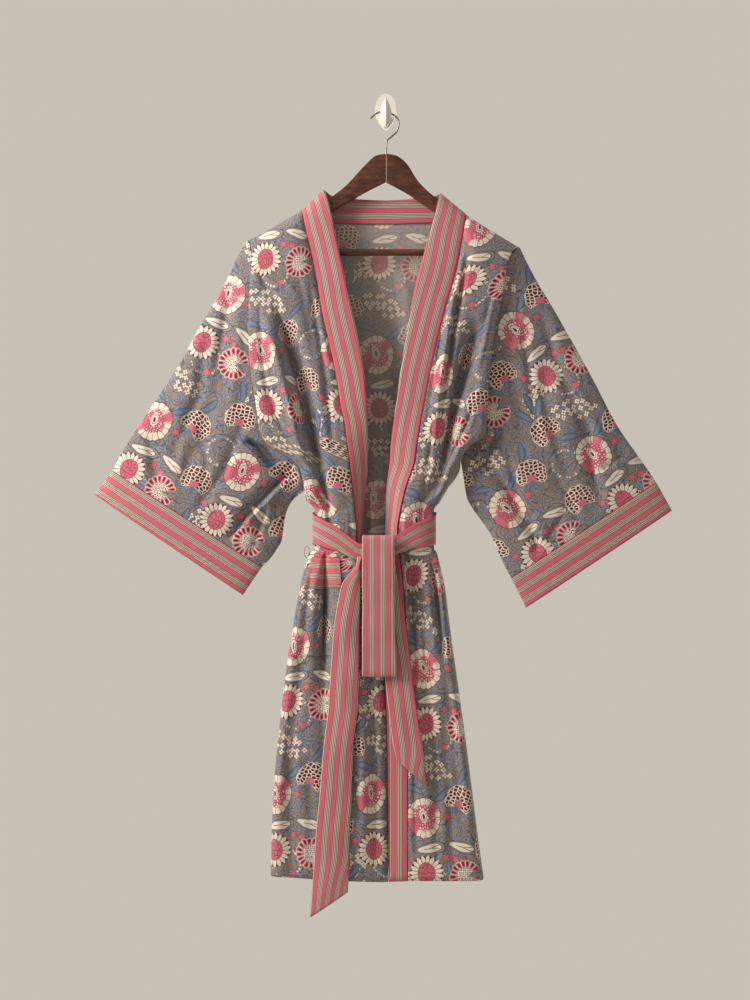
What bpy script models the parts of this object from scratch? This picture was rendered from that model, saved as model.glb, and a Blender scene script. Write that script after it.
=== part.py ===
# Kimono robe on a wooden hanger, hung from a plastic wall hook.
# Metres, +Z up. The wall is the plane y = 0 and the robe hangs on its -Y side, so the
# viewer looks along +Y. The origin is the centre of the wall hook's flat back.
# Tables are in millimetres, one row for each section or fold, with named columns.

import math

import bmesh
import bpy
import numpy as np
from mathutils import Vector

MM = 0.001

# Driving sizes
WALL = 0.0012               # robe cloth
BAND_WALL = 0.0018          # doubled cloth of the bands, cuffs and trim
SASH_WALL = 0.0015
SEAM_GAP = 0.0003
SEAM_TURN = 0.0010          # extra at a seam whose cloth turns a corner
HANG_Y = -0.032             # plane of the hanger, in front of the wall
WOOD_THICK = 0.014
BAR_RADIUS = 0.0056
WIRE_RADIUS = 0.0015
SLEEVE_FRONT = 0.027        # how far the sleeve stands in front of the hanger plane
SLEEVE_BACK = 0.020
CUFF_DEPTH = 0.014          # half depth of the open cuff
SHOULDER_DROP = 0.00200     # step between the front's seam edge and the sleeve behind it
WAIST_X = -0.019
WAIST_Y = -0.047
WAIST_Z = -0.685
WAIST_HALF = (0.0969, 0.0269)
SASH_HALF = (0.0995, 0.0295)
WAIST_POWER = 3.0

PRINT = (0.33, 0.28, 0.27)
STRIPE = (0.66, 0.34, 0.36)
WOOD = (0.085, 0.028, 0.014)
STEEL = (0.42, 0.40, 0.36)
PLASTIC = (0.80, 0.76, 0.68)


def table(names, *rows):
    """Columns of a table, in metres."""
    return {name: np.array(column, dtype=float) * MM for name, column in zip(names.split(), zip(*rows))}


def smooth(values, place):
    """Value between rows of a column, with no overshoot."""
    last = len(values) - 1
    row = max(0, min(int(place), last - 1))
    part = place - row
    steps = np.diff(values)

    def slope(at):
        if at in (0, last):
            return steps[0] if at == 0 else steps[-1]
        before, after = steps[at - 1], steps[at]
        return 0.0 if before * after <= 0 else 2 * before * after / (before + after)

    rise = steps[row]
    bend = part * (1 - part)
    return (values[row] + rise * part * part * (3 - 2 * part)
            + bend * ((1 - part) * slope(row) - part * slope(row + 1)))


def at_height(columns, name, z, height="z"):
    """Value of a column at a height, where the heights fall from row to row."""
    return float(np.interp(-z, -columns[height], columns[name]))


def ease(value, low, high):
    """Soft step from 0 at low to 1 at high."""
    part = max(0.0, min(1.0, (value - low) / (high - low)))
    return part * part * (3 - 2 * part)


def through(points, knots, place):
    """Smooth curve through a few points, at a place between its knots."""
    span = max(0, min(len(knots) - 2, sum(1 for knot in knots[1:-1] if place >= knot)))
    part = (place - knots[span]) / (knots[span + 1] - knots[span])
    ends = (points[max(span - 1, 0)], points[span], points[span + 1], points[min(span + 2, len(points) - 1)])
    result = []
    for before, start, stop, after in zip(*ends):
        lean_in = (stop - before) * 0.5
        lean_out = (after - start) * 0.5
        cube = 2 * start - 2 * stop + lean_in + lean_out
        square = -3 * start + 3 * stop - 2 * lean_in - lean_out
        result.append(((cube * part + square) * part + lean_in) * part + start)
    return result


# Armholes run from the shoulder tip to the underarm. The viewer's right one bows inwards.
ARMHOLE = {
    "left": dict(top=(-0.2236, -0.2138), low=(-0.1328, -0.6221), bow=0.0, inward=1),
    "right": dict(top=(0.2179, -0.2260), low=(0.1231, -0.5767), bow=-0.0225, inward=-1),
}

# Front sections from the shoulder seam to the hem. inner_z is the height at the band seam,
# outer_z at the side. ridge_x is the outermost fold of the front, which overhangs the armhole.
FRONT = {
    "left": table(
        "inner_z outer_z ridge_x band_x band_y front_y",
        (-166.9, -212.2, -217.6, -137.7, -32.7, -32.7),
        (-167.8, -213.2, -216.6, -137.7, -38.2, -38.2),
        (-173.3, -218.7, -216.5, -136.4, -42.8, -46.5),
        (-187.9, -233.3, -216.5, -133.5, -46.5, -55.5),
        (-226.8, -264.1, -218.0, -124.7, -51.0, -63.0),
        (-272.2, -306.2, -221.0, -115.0, -55.0, -66.0),
        (-328.9, -358.0, -221.0, -105.3, -60.0, -71.0),
        (-383.9, -403.4, -219.5, -93.2, -64.0, -74.0),
        (-437.4, -450.4, -213.8, -81.5, -68.0, -77.0),
        (-482.8, -492.5, -207.4, -74.5, -71.0, -79.0),
        (-520.0, -524.9, -202.5, -67.1, -73.0, -80.0),
        (-541.1, -542.7, -193.5, -64.8, -74.0, -80.0),
        (-555.7, -555.7, -176.6, -62.7, -74.0, -79.0),
        (-570.2, -570.2, -153.9, -60.8, -74.0, -78.0),
        (-589.7, -589.7, -137.5, -58.8, -73.0, -77.0),
        (-622.1, -622.1, -131.0, -55.1, -71.5, -75.5),
        (-659.3, -659.3, -118.3, -51.0, -70.0, -74.5),
        (-686.9, -686.9, -115.2, -48.6, -69.0, -74.5),
        (-712.0, -712.0, -117.5, -48.6, -69.0, -74.5),
        (-731.4, -731.4, -126.0, -43.0, -68.0, -75.5),
        (-781.7, -781.7, -139.3, -27.0, -68.0, -79.0),
        (-832.7, -832.7, -148.2, -14.0, -68.5, -82.0),
        (-889.4, -889.4, -157.5, -6.0, -70.0, -85.0),
        (-978.5, -978.5, -168.5, -1.0, -73.0, -88.0),
        (-1075.7, -1075.7, -178.2, 1.0, -74.5, -91.0),
        (-1172.9, -1170.0, -183.1, 2.5, -75.5, -93.0),
        (-1253.9, -1242.5, -184.7, 3.5, -76.0, -94.0)),
    "right": table(
        "inner_z outer_z ridge_x band_x band_y front_y",
        (-173.3, -225.4, 211.9, 131.2, -32.7, -32.7),
        (-174.3, -226.4, 211.9, 131.2, -38.2, -38.2),
        (-179.8, -229.6, 207.5, 130.4, -42.8, -46.5),
        (-194.4, -242.0, 199.5, 128.0, -46.5, -55.5),
        (-233.3, -272.0, 193.5, 121.5, -51.0, -63.0),
        (-272.2, -307.8, 187.5, 113.4, -55.0, -66.0),
        (-328.9, -358.0, 177.5, 97.2, -60.0, -71.0),
        (-383.9, -401.8, 170.5, 83.4, -64.0, -74.0),
        (-437.4, -448.7, 165.6, 71.3, -68.0, -77.0),
        (-482.8, -490.9, 163.0, 63.2, -71.0, -79.0),
        (-515.2, -520.0, 161.2, 56.7, -73.0, -80.0),
        (-531.4, -533.0, 158.8, 54.3, -74.0, -80.0),
        (-544.3, -544.3, 144.0, 51.8, -74.0, -79.0),
        (-557.3, -557.3, 129.0, 50.2, -74.0, -78.0),
        (-576.7, -576.7, 119.5, 47.8, -73.0, -77.0),
        (-622.1, -622.1, 98.0, 32.8, -71.5, -75.5),
        (-659.3, -659.3, 79.0, 25.0, -70.0, -74.5),
        (-686.9, -686.9, 77.2, 21.1, -69.0, -74.5),
        (-712.0, -712.0, 78.6, 22.7, -69.0, -74.5),
        (-731.4, -731.4, 83.5, 24.5, -71.0, -75.5),
        (-781.7, -781.7, 94.8, 29.2, -75.0, -79.0),
        (-832.7, -832.7, 101.2, 32.4, -78.0, -82.0),
        (-889.4, -889.4, 109.0, 34.0, -80.0, -85.0),
        (-978.5, -978.5, 121.5, 35.6, -83.0, -88.0),
        (-1075.7, -1075.7, 134.5, 35.6, -85.0, -91.0),
        (-1172.9, -1172.9, 146.6, 35.6, -87.0, -93.0),
        (-1249.8, -1249.0, 157.1, 35.6, -88.0, -94.0)),
}
FRONT_ROWS = 27
FRONT_COLUMNS = 20
SIDE_SEAM = table("z side_y", (-560, -32), (-622, -33), (-686, -46), (-900, -45), (-1260, -43))

# Free edge of each front band, row for row with the front it is sewn to.
BAND_EDGE = {
    "left": table(
        "edge_x edge_y edge_z",
        (-102.1, -32.7, -131.2), (-100.5, -38.0, -133.5), (-97.5, -43.0, -141.0), (-92.0, -46.5, -158.0),
        (-80.5, -52.0, -214.0), (-69.5, -57.0, -264.0), (-57.0, -61.0, -323.0), (-44.5, -65.0, -379.0),
        (-35.0, -69.0, -434.0), (-31.0, -70.0, -480.0), (-29.5, -68.0, -518.0), (-29.5, -66.0, -540.0),
        (-29.6, -64.0, -555.0), (-29.8, -62.0, -570.0), (-30.0, -58.0, -590.0), (-34.5, -50.0, -622.0),
        (-37.0, -42.0, -659.0), (-39.0, -38.0, -687.0), (-41.0, -39.0, -712.0), (-20.0, -50.0, -731.4),
        (-1.0, -57.0, -781.7), (15.0, -60.0, -833.0), (25.0, -63.0, -889.4), (31.0, -66.5, -978.5),
        (33.0, -68.0, -1075.7), (34.5, -69.0, -1173.0), (35.5, -69.5, -1254.0)),
    "right": table(
        "edge_x edge_y edge_z",
        (89.1, -32.7, -137.7), (88.0, -38.0, -139.5), (86.0, -43.0, -146.0), (82.0, -46.5, -163.0),
        (64.0, -52.0, -229.0), (54.0, -57.0, -266.0), (40.5, -61.0, -325.0), (31.5, -65.0, -380.0),
        (22.5, -69.0, -436.0), (16.5, -70.0, -482.0), (11.5, -68.0, -516.0), (9.5, -66.0, -532.0),
        (8.5, -64.0, -545.0), (7.5, -62.0, -557.0), (6.3, -58.0, -577.0), (1.0, -50.0, -622.0),
        (0.0, -42.0, -659.0), (-1.0, -38.0, -687.0), (-1.4, -39.0, -712.0), (-1.0, -50.0, -731.4),
        (0.6, -67.0, -781.7), (3.2, -74.0, -833.0), (4.0, -78.0, -889.4), (5.0, -81.0, -978.5),
        (6.0, -83.5, -1075.7), (6.5, -85.0, -1173.0), (7.0, -86.0, -1249.0)),
}

# Large folds. Each runs down from (x1, z1) by (x2, z2) to (x3, z3). A depth above 0 is a trough.
FRONT_FOLDS = {
    "left": table(
        "x1 z1 x2 z2 x3 z3 width depth",
        (-166, -330, -134, -452, -108, -590, 13, 24),
        (-108, -590, -92, -668, -97, -720, 10, 12),
        (-97, -720, -99, -833, -106, -1010, 13, 9),
        (-212, -262, -198, -292, -183, -330, 7, 3),
        (-150, -240, -124, -330, -108, -450, 12, 5),
        (-127, -700, -133, -830, -148, -1120, 12, 7),
        (-86, -760, -96, -900, -108, -1200, 9, 3.5),
        (-160, -1010, -154, -1120, -150, -1260, 13, 9)),
    "right": table(
        "x1 z1 x2 z2 x3 z3 width depth",
        (146, -346, 128, -430, 90, -585, 13, 24),
        (118, -235, 92, -340, 60, -540, 8, 8),
        (90, -585, 62, -640, 52, -715, 10, 10),
        (72, -706, 77, -760, 83, -850, 8, 12),
        (48, -716, 46, -780, 52, -900, 8, 12),
        (60, -880, 72, -1010, 88, -1220, 12, 10),
        (96, -900, 108, -1020, 124, -1200, 11, 7),
        (180, -300, 160, -400, 136, -480, 10, 6)),
}

BACK_ROWS = table(
    "z back_y gather",
    (-184.0, -15.0, 0.0), (-185.2, -15.0, 0.0), (-189.0, -15.0, 0.0), (-199.0, -14.5, 0.0),
    (-222.0, -14.0, 0.0), (-262.0, -13.0, 1.0), (-312.0, -12.5, 2.0), (-362.0, -12.0, 3.0),
    (-412.0, -12.0, 3.0), (-462.0, -12.0, 3.0), (-512.0, -12.0, 4.0), (-545.0, -12.5, 5.0),
    (-576.7, -14.0, 5.5), (-622.1, -17.0, 6.5), (-659.3, -19.5, 7.0), (-686.9, -19.5, 7.0),
    (-712.0, -19.5, 7.0), (-731.4, -18.5, 7.5), (-781.7, -16.0, 8.0), (-832.7, -14.0, 9.0),
    (-889.4, -12.0, 10.0), (-978.5, -10.0, 10.0), (-1075.7, -9.0, 10.0), (-1172.9, -8.0, 10.0),
    (-1247.0, -8.0, 10.0))
BACK_HALF = (0, .05, .1, .15, .195, .207, .228, .255, .30, .345, .39, .435, .48)
BACK_COLUMNS = BACK_HALF + tuple(1 - place for place in reversed(BACK_HALF))
BACK_GATHERS = 5
NECK = table(
    "x z back_y",
    (-138.0, -167.4, -31.3), (-132.5, -167.8, -23.2), (-124.0, -175.0, -18.5), (-111.0, -182.0, -16.5),
    (-89.0, -184.6, -15.2), (-3.0, -186.0, -15.0), (78.0, -184.0, -15.2), (104.0, -182.5, -16.5),
    (117.0, -179.0, -18.5), (126.5, -174.2, -23.2), (132.0, -174.0, -31.3))
NECK_BASE = -0.184
SHOULDER_FADE = -0.420

# Neck band, from shoulder to shoulder: its sewn edge and its free edge.
NECK_BAND = table(
    "sewn_x sewn_y sewn_z free_x free_y free_z",
    (-136.5, -31.2, -165.2, -102.1, -31.2, -131.2), (-134.5, -26.5, -164.2, -99.0, -26.5, -132.5),
    (-127.0, -21.8, -169.0, -94.0, -21.5, -136.5), (-111.0, -19.0, -180.0, -86.0, -20.0, -140.5),
    (-89.0, -17.6, -184.5, -68.0, -19.5, -144.0), (-45.0, -17.2, -185.8, -36.0, -19.0, -146.0),
    (-3.0, -17.2, -186.4, -3.0, -19.0, -147.4), (40.0, -17.2, -185.3, 32.0, -19.0, -146.0),
    (78.0, -17.6, -184.0, 60.0, -19.5, -144.0), (103.0, -19.0, -181.0, 77.0, -20.0, -141.5),
    (119.5, -21.8, -175.0, 84.0, -21.5, -139.5), (127.5, -26.5, -170.6, 87.0, -26.5, -138.3),
    (130.0, -31.2, -171.6, 89.1, -31.2, -137.7))

# Sleeves from armhole to cuff: top fold and lower edge.
SLEEVE = {
    "left": table(
        "top_x top_z low_x low_z",
        (-223.6, -213.8, -132.8, -622.1), (-232.5, -225.5, -138.5, -626.5), (-243.5, -245.0, -147.0, -632.5),
        (-252.7, -265.7, -154.5, -641.0), (-274.3, -308.6, -163.6, -660.2), (-300.3, -351.5, -167.5, -682.0),
        (-330.8, -408.2, -170.1, -703.1), (-361.3, -456.2, -178.0, -718.0), (-395.9, -508.7, -187.0, -731.0),
        (-426.1, -555.7, -196.0, -741.0), (-443.9, -590.7, -202.5, -746.8)),
    "right": table(
        "top_x top_z low_x low_z",
        (217.9, -226.0, 123.1, -576.7), (223.0, -236.0, 125.5, -590.0), (231.0, -253.0, 128.0, -605.9),
        (246.2, -281.9, 130.0, -620.0), (268.0, -319.0, 133.0, -635.5), (289.5, -356.4, 142.0, -652.0),
        (332.7, -434.2, 157.0, -673.0), (375.8, -516.8, 172.0, -696.0), (405.0, -560.0, 183.0, -722.0),
        (426.0, -590.0, 194.0, -746.0), (439.0, -610.1, 204.1, -764.6)),
}
SLEEVE_DEPTH = table(
    "middle_y front back",
    (-32, 27, 20), (-32, 26, 20), (-32.5, 25, 19.5), (-33, 24, 19), (-35, 22, 19), (-37, 21, 18),
    (-39, 20, 17), (-41, 19, 16), (-43, 17, 15), (-44, 15.5, 14.5), (-45, 14, 14))
SLEEVE_FOLDS = {
    "left": table(
        "x1 z1 x2 z2 x3 z3 width depth",
        (-150, -580, -220, -650, -282, -735, 11, 8),
        (-196, -560, -164, -590, -138, -612, 12, 7),
        (-262, -320, -266, -420, -300, -560, 15, 5),
        (-300, -420, -300, -540, -345, -640, 14, 4),
        (-372, -520, -370, -610, -385, -665, 12, 4)),
    "right": table(
        "x1 z1 x2 z2 x3 z3 width depth",
        (150, -560, 205, -640, 262, -740, 11, 7),
        (205, -330, 205, -440, 232, -560, 14, 5),
        (262, -360, 258, -480, 300, -640, 15, 6),
        (330, -470, 322, -560, 352, -690, 13, 5)),
}
CUFF_END = {
    "left": dict(top=(-0.4732, -0.6299), low=(-0.2333, -0.7922)),
    "right": dict(top=(0.4643, -0.6556), low=(0.2284, -0.8128)),
}

# Sash round the waist: height of its middle and half its width, from side to side of the front.
SASH_FRONT = table(
    "x z half",
    (-118.5, -684.5, 23.7), (-80.0, -701.0, 20.0), (-44.0, -722.0, 14.0), (-16.0, -723.0, 13.0),
    (12.6, -712.0, 14.6), (45.0, -697.0, 20.0), (80.5, -686.0, 24.8))

# Hanging ends: edges of the sash and how far each stands in front of the robe.
TAIL_LONG = table(
    "z left_x right_x off",
    (-729.0, -46.0, -36.0, 2.9), (-744.0, -49.0, -41.5, 4.0), (-757.0, -59.0, -40.5, 4.0), (-774.0, -71.0, -40.8, 4.0),
    (-805.0, -78.2, -41.5, 4.5), (-855.0, -85.1, -42.3, 4.5), (-905.0, -89.0, -43.2, 4.0),
    (-962.0, -92.3, -44.2, 4.0), (-1008.0, -97.7, -50.2, 5.0), (-1060.0, -102.0, -53.0, 4.5),
    (-1120.0, -107.5, -55.7, 4.0), (-1181.0, -113.4, -58.6, 4.0), (-1235.0, -118.0, -60.0, 4.0),
    (-1287.0, -121.5, -61.5, 4.0))
TAIL_SHORT = table(
    "z left_x right_x off",
    (-744.0, -20.0, 14.0, 3.5), (-770.0, -19.0, 19.0, 3.5), (-805.0, -16.0, 25.5, 3.5),
    (-844.0, -13.0, 32.4, 3.5), (-900.0, -5.0, 39.0, 3.5), (-941.0, 0.0, 44.5, 3.5),
    (-985.0, 5.0, 51.0, 4.0), (-1030.0, 11.0, 58.5, 4.0), (-1076.0, 16.0, 65.8, 4.0))
# The folded loop: up over the knot, down the front, round the fold and up behind.
SASH_LOOP = table(
    "z left_x right_x off",
    (-702.0, -36.0, 11.0, 3.9), (-695.5, -37.5, 12.0, 10.5), (-700.0, -38.9, 13.0, 18.0),
    (-716.0, -38.9, 13.0, 20.5), (-750.0, -38.9, 13.5, 20.0), (-810.0, -38.2, 14.0, 17.0),
    (-870.0, -38.6, 15.5, 17.5), (-906.0, -38.9, 17.0, 16.5), (-919.0, -38.9, 17.8, 13.5),
    (-921.0, -38.9, 17.8, 10.5), (-912.0, -38.0, 17.5, 8.0), (-870.0, -36.0, 15.0, 6.7),
    (-800.0, -34.0, 13.0, 6.7), (-752.0, -32.0, 11.0, 7.2), (-740.1, -30.0, 9.0, 7.8))

# Half outlines of the hanger in the plane of the wall, clockwise from the joint line.
WOOD_OUTLINE = {
    "left": (
        (-0.15, -73.7), (-14, -75.8), (-23, -81), (-34.5, -92.5), (-50.2, -109.4), (-64.3, -124.7),
        (-81, -138.2), (-97, -150), (-115, -162.6),
        (-137.7, -170.3), (-180, -192.5), (-208, -208.5), (-213, -213.4), (-214, -226), (-211, -238),
        (-203, -246), (-195, -248), (-187.5, -243), (-187.5, -223), (-170, -212), (-130, -190),
        (-89, -167), (-65.6, -154.5), (-29.5, -135.1), (-0.15, -120.5)),
    "right": (
        (0.15, -120.5), (35.2, -139.5), (61, -156), (79, -168), (125, -197), (165, -219), (183.5, -225),
        (183.5, -247), (190, -252), (199, -251), (206, -245), (209, -236), (208, -228), (203, -221.8),
        (176.6, -204.4), (131.2, -176.2), (110, -163.6), (90, -150.5), (73.9, -139.3), (58.3, -125),
        (48.1, -111.8), (35.2, -91.2), (22.2, -79.4), (12, -75.2), (0.15, -73.7)),
}
WIRE_ROUTE = ((-25.3, -15.7), (-18, -9), (-10.4, -4.9), (-2, -3.8), (7.3, -6.6), (14, -10.6), (18.5, -14.6),
              (21.1, -21.7), (20.6, -29.5), (17.5, -37.3), (10, -44.5), (3.4, -50), (1.0, -56), (0.6, -74.3))
BAR_Z = -0.2341
BAR_ENDS = (-0.1872, 0.1832)

PLATE_SIZE = (0.0356, 0.0060, 0.0591)
PLATE_CENTRE = (0.0, -0.0030, 0.0)
PLATE_TOP = 2.2             # roundness of the plate above and below its middle
PLATE_FOOT = 1.35
HOOK_WIDTH = 0.007
# Side outline of the hook's arm and nose, as (y, z).
HOOK_SIDE = ((-5.0, -7.4), (-34.6, -7.4), (-34.6, 3.5), (-36.6, 5.0), (-37.4, 3.0), (-37.0, -12.0),
             (-32.0, -21.0), (-18.0, -25.0), (-5.0, -26.5))
# The leaf-shaped lip of the wall hook: half width, and how far its edge and its ridge stand out.
LIP = table(
    "z half edge ridge",
    (17.3, 0.5, -37.6, -38.4), (11.5, 4.0, -36.8, -39.6), (4.0, 7.0, -36.4, -40.6), (-4.0, 8.8, -36.2, -41.2),
    (-10.0, 9.2, -36.0, -41.2), (-17.0, 7.6, -34.6, -39.6), (-24.0, 4.2, -31.5, -35.6), (-29.0, 0.6, -28.6, -29.6))
LIP_BACK = (-34.4, -34.4, -34.4, -34.4, -34.0, -31.0, -28.0, -26.4)


def clear_scene():
    for item in list(bpy.data.objects):
        bpy.data.objects.remove(item, do_unlink=True)


def material(name, colour, roughness, metallic=0.0):
    made = bpy.data.materials.new(name)
    made.use_nodes = True
    shader = made.node_tree.nodes["Principled BSDF"]
    shader.inputs["Base Color"].default_value = (*colour, 1.0)
    shader.inputs["Roughness"].default_value = roughness
    shader.inputs["Metallic"].default_value = metallic
    return made


def add(name, data, finish, group):
    item = bpy.data.objects.new(name, data)
    item.data.materials.append(finish)
    group.objects.link(item)
    return item


def cloth(name, place, columns, rows, wall, finish, group, ring=False):
    """Open surface through place(u, v), given its wall. columns and rows list u and v."""
    mesh = bmesh.new()
    across, down = len(columns) - 1, len(rows) - 1
    bmesh.ops.create_grid(mesh, x_segments=across, y_segments=down, size=0.5)
    for point in mesh.verts:
        column = round((point.co.x + 0.5) * across)
        row = round((point.co.y + 0.5) * down)
        point.co = Vector(place(columns[column], rows[row]))
    if ring:
        bmesh.ops.remove_doubles(mesh, verts=mesh.verts, dist=0.00001)
    data = bpy.data.meshes.new(name)
    mesh.to_mesh(data)
    mesh.free()
    data.shade_smooth()
    item = add(name, data, finish, group)
    shell = item.modifiers.new("wall", "SOLIDIFY")
    shell.thickness = wall
    shell.offset = 0.0
    return item


def fold_depth(folds, x, z):
    """Sum of the troughs at a point of the front view."""
    total = 0.0
    for x1, z1, x2, z2, x3, z3, width, depth in zip(*folds.values()):
        if not min(z1, z3) < z < max(z1, z3):
            continue
        if (z2 - z) * (z1 - z) <= 0:
            part = (z1 - z) / (z1 - z2)
            run, middle = part * 0.5, x1 + (x2 - x1) * part
        else:
            part = (z2 - z) / (z2 - z3)
            run, middle = 0.5 + part * 0.5, x2 + (x3 - x2) * part
        reach = (x - middle) / width
        total += depth * math.sin(math.pi * run) ** 0.7 * math.exp(-reach * reach)
    return total


def armhole(side, z):
    """Place of the armhole at a height: x, how far down it is, and its bulge from 0 to 1."""
    shape = ARMHOLE[side]
    down = max(0.0, min(1.0, (shape["top"][1] - z) / (shape["top"][1] - shape["low"][1])))
    x = shape["top"][0] + (shape["low"][0] - shape["top"][0]) * down
    x += shape["bow"] * math.sin(math.pi * down ** 0.6)
    return x, down, bulge(down, 0.0)


def bulge(down, along):
    """Depth of a flattened sleeve between its two folds."""
    return max(0.0, 1 - (1 - 2 * down) ** 2) ** (0.5 * (0.6 + 0.3 * along))


def cinch(x, y, z):
    """The sash draws the cloth inside its ring."""
    wide = WAIST_HALF[0] + max(0.0, abs(z - WAIST_Z) - 0.034) * 1.2
    deep = WAIST_HALF[1] + max(0.0, abs(z + 0.700) - 0.048) * 0.5
    across = max(-0.995, min(0.995, (x - WAIST_X) / wide))
    limit = max(0.009, deep * (1 - abs(across) ** WAIST_POWER) ** (1 / WAIST_POWER))
    return WAIST_X + wide * across, max(WAIST_Y - limit, min(WAIST_Y + limit, y))


def ends_of(down):
    """1 at the tip and the foot of an armhole, where its seam turns, and 0 between."""
    return max(ease(down, 0.85, 1.0), ease(down, 0.10, 0.0))


def front_seam(side, z, ridge):
    """Outer edge of a front at a height."""
    shape = ARMHOLE[side]
    if z > shape["low"][1]:
        x, down, out = armhole(side, z)
        step = SHOULDER_DROP * ease(min(down / 0.03, (1 - down) / 0.02), 0, 1)
        turning = ends_of(down)
        x += shape["inward"] * (SEAM_GAP + SEAM_TURN * 1.6 * turning)
        return x, HANG_Y - SLEEVE_FRONT * out - step - SEAM_TURN * (0.3 + 0.7 * turning)
    blend = ease(z, shape["low"][1], shape["low"][1] - 0.05)
    x = shape["low"][0] + shape["inward"] * (SEAM_GAP + 2 * SEAM_TURN)
    x = x + (ridge + shape["inward"] * 0.001 - x) * blend
    return x, at_height(SIDE_SEAM, "side_y", z) - SEAM_TURN


def front_point(side, u, v):
    """Point of a front: u from the side to the band, v from the shoulder to the hem."""
    columns = FRONT[side]
    row = v * (FRONT_ROWS - 1)
    inner_z, outer_z, ridge, band_x, band_y, front_y = (smooth(values, row) for values in columns.values())
    inward = ARMHOLE[side]["inward"]
    seam_x, seam_y = front_seam(side, outer_z, ridge)
    turn_y = seam_y + 0.45 * (front_y - seam_y)
    shoulder = ease(row, 0.0, 3.0)
    lead = ridge + inward * 0.007
    points = ((seam_x, seam_y), ((seam_x + ridge) / 2, seam_y + 0.2 * (front_y - seam_y)), (ridge, turn_y),
              (lead, front_y + 0.0015 * shoulder), (lead + 0.35 * (band_x - lead), front_y),
              (lead + 0.7 * (band_x - lead), front_y),
              (lead + 0.92 * (band_x - lead), (front_y + band_y) / 2), (band_x, band_y))
    x, y = through(points, (0.0, 0.05, 0.10, 0.15, 0.42, 0.7, 0.92, 1.0), u)
    across = max(0.0, min(1.0, (x - ridge) / (band_x - ridge)))
    z = outer_z + (inner_z - outer_z) * across
    if u > 0.15:
        window = ease(u, 0.15, 0.28) * ease(1 - u, 0.0, 0.1) * ease(row, 3.0, 6.0)
        y += min(0.030, fold_depth(FRONT_FOLDS[side], x, z)) * window
    x, y = cinch(x, y, z)
    return x, y, z


def moved_out(side, u, v, by):
    """Point of a front moved out from its face."""
    step = 0.002
    here = Vector(front_point(side, u, v))
    across = Vector(front_point(side, u + step, v)) - Vector(front_point(side, u - step, v))
    down = Vector(front_point(side, u, v + step)) - Vector(front_point(side, u, v - step))
    out = across.cross(down).normalized()
    if out.y > 0:
        out = -out
    return here + out * by


def band_point(side, u, v):
    """Point of a front band: u from its seam to its free edge."""
    row = v * (FRONT_ROWS - 1)
    edge = [smooth(values, row) for values in BAND_EDGE[side].values()]
    inward = ARMHOLE[side]["inward"]
    seam = Vector(front_point(side, 1.0, v))
    free = Vector(edge)
    turned = abs((free - seam).normalized().y)
    seam.x += inward * (SEAM_GAP + 2 * SEAM_TURN * (0.25 + turned))
    point = seam.lerp(free, u)
    crown = math.sin(math.pi * u)
    point.y -= 0.0012 * crown * ease(row, 1.0, 4.0)
    return point


def back_point(u, v):
    """Point of the back: u from the viewer's left seam to the right one."""
    row_z = smooth(BACK_ROWS["z"], v * (len(BACK_ROWS["z"]) - 1))
    fade = ease(row_z, SHOULDER_FADE, NECK_BASE)
    seams = []
    for side in ("left", "right"):
        shape = ARMHOLE[side]
        edge_z = row_z + (shape["top"][1] - NECK_BASE) * fade
        ridge = at_height(FRONT[side], "ridge_x", edge_z, "outer_z")
        if edge_z > shape["low"][1]:
            x, down, out = armhole(side, edge_z)
            turning = ends_of(down)
            x += shape["inward"] * (SEAM_GAP + SEAM_TURN * (0.35 + 1.25 * turning))
            y = HANG_Y + SLEEVE_BACK * out + SEAM_TURN * turning
        else:
            x = front_seam(side, edge_z, ridge)[0]
            y = at_height(SIDE_SEAM, "side_y", edge_z) + SEAM_TURN
        seams.append((x, y, edge_z))
    (left_x, left_y, left_z), (right_x, right_y, right_z) = seams
    x = left_x + (right_x - left_x) * u
    if x < NECK["x"][0]:
        rise = left_z + (NECK["z"][0] - NECK_BASE) * fade + (row_z - left_z)
        z = left_z + (rise - left_z) * (x - left_x) / (NECK["x"][0] - left_x)
        top_y = NECK["back_y"][0]
    elif x > NECK["x"][-1]:
        rise = row_z + (NECK["z"][-1] - NECK_BASE) * fade
        z = right_z + (rise - right_z) * (right_x - x) / (right_x - NECK["x"][-1])
        top_y = NECK["back_y"][0]
    else:
        z = row_z + (float(np.interp(x, NECK["x"], NECK["z"])) - NECK_BASE) * fade
        top_y = float(np.interp(x, NECK["x"], NECK["back_y"]))
    drop = NECK_BASE - row_z
    roll = 0.46 * ease(drop, 0, 0.0012) + 0.32 * ease(drop, 0.0, 0.006) + 0.22 * ease(drop, 0.0, 0.022)
    row = v * (len(BACK_ROWS["z"]) - 1)
    deep = smooth(BACK_ROWS["back_y"], row)
    wave = 0.5 - 0.5 * math.cos(2 * math.pi * BACK_GATHERS * u)
    deep -= smooth(BACK_ROWS["gather"], row) * wave * ease(min(u, 1 - u), 0.0, 0.1)
    y = top_y + (deep - top_y) * roll
    edge = ease(min(u, 1 - u), 0.0, 0.10)
    edge_y = left_y if u < 0.5 else right_y
    y = edge_y + (y - edge_y) * edge ** 0.6
    x, y = cinch(x, y, z)
    return x, y, z


def neck_band_point(u, v):
    """Point of the band round the back of the neck: u from sewn to free edge."""
    row = v * (len(NECK_BAND["sewn_x"]) - 1)
    values = [smooth(column, row) for column in NECK_BAND.values()]
    return Vector(values[:3]).lerp(Vector(values[3:]), u)


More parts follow.
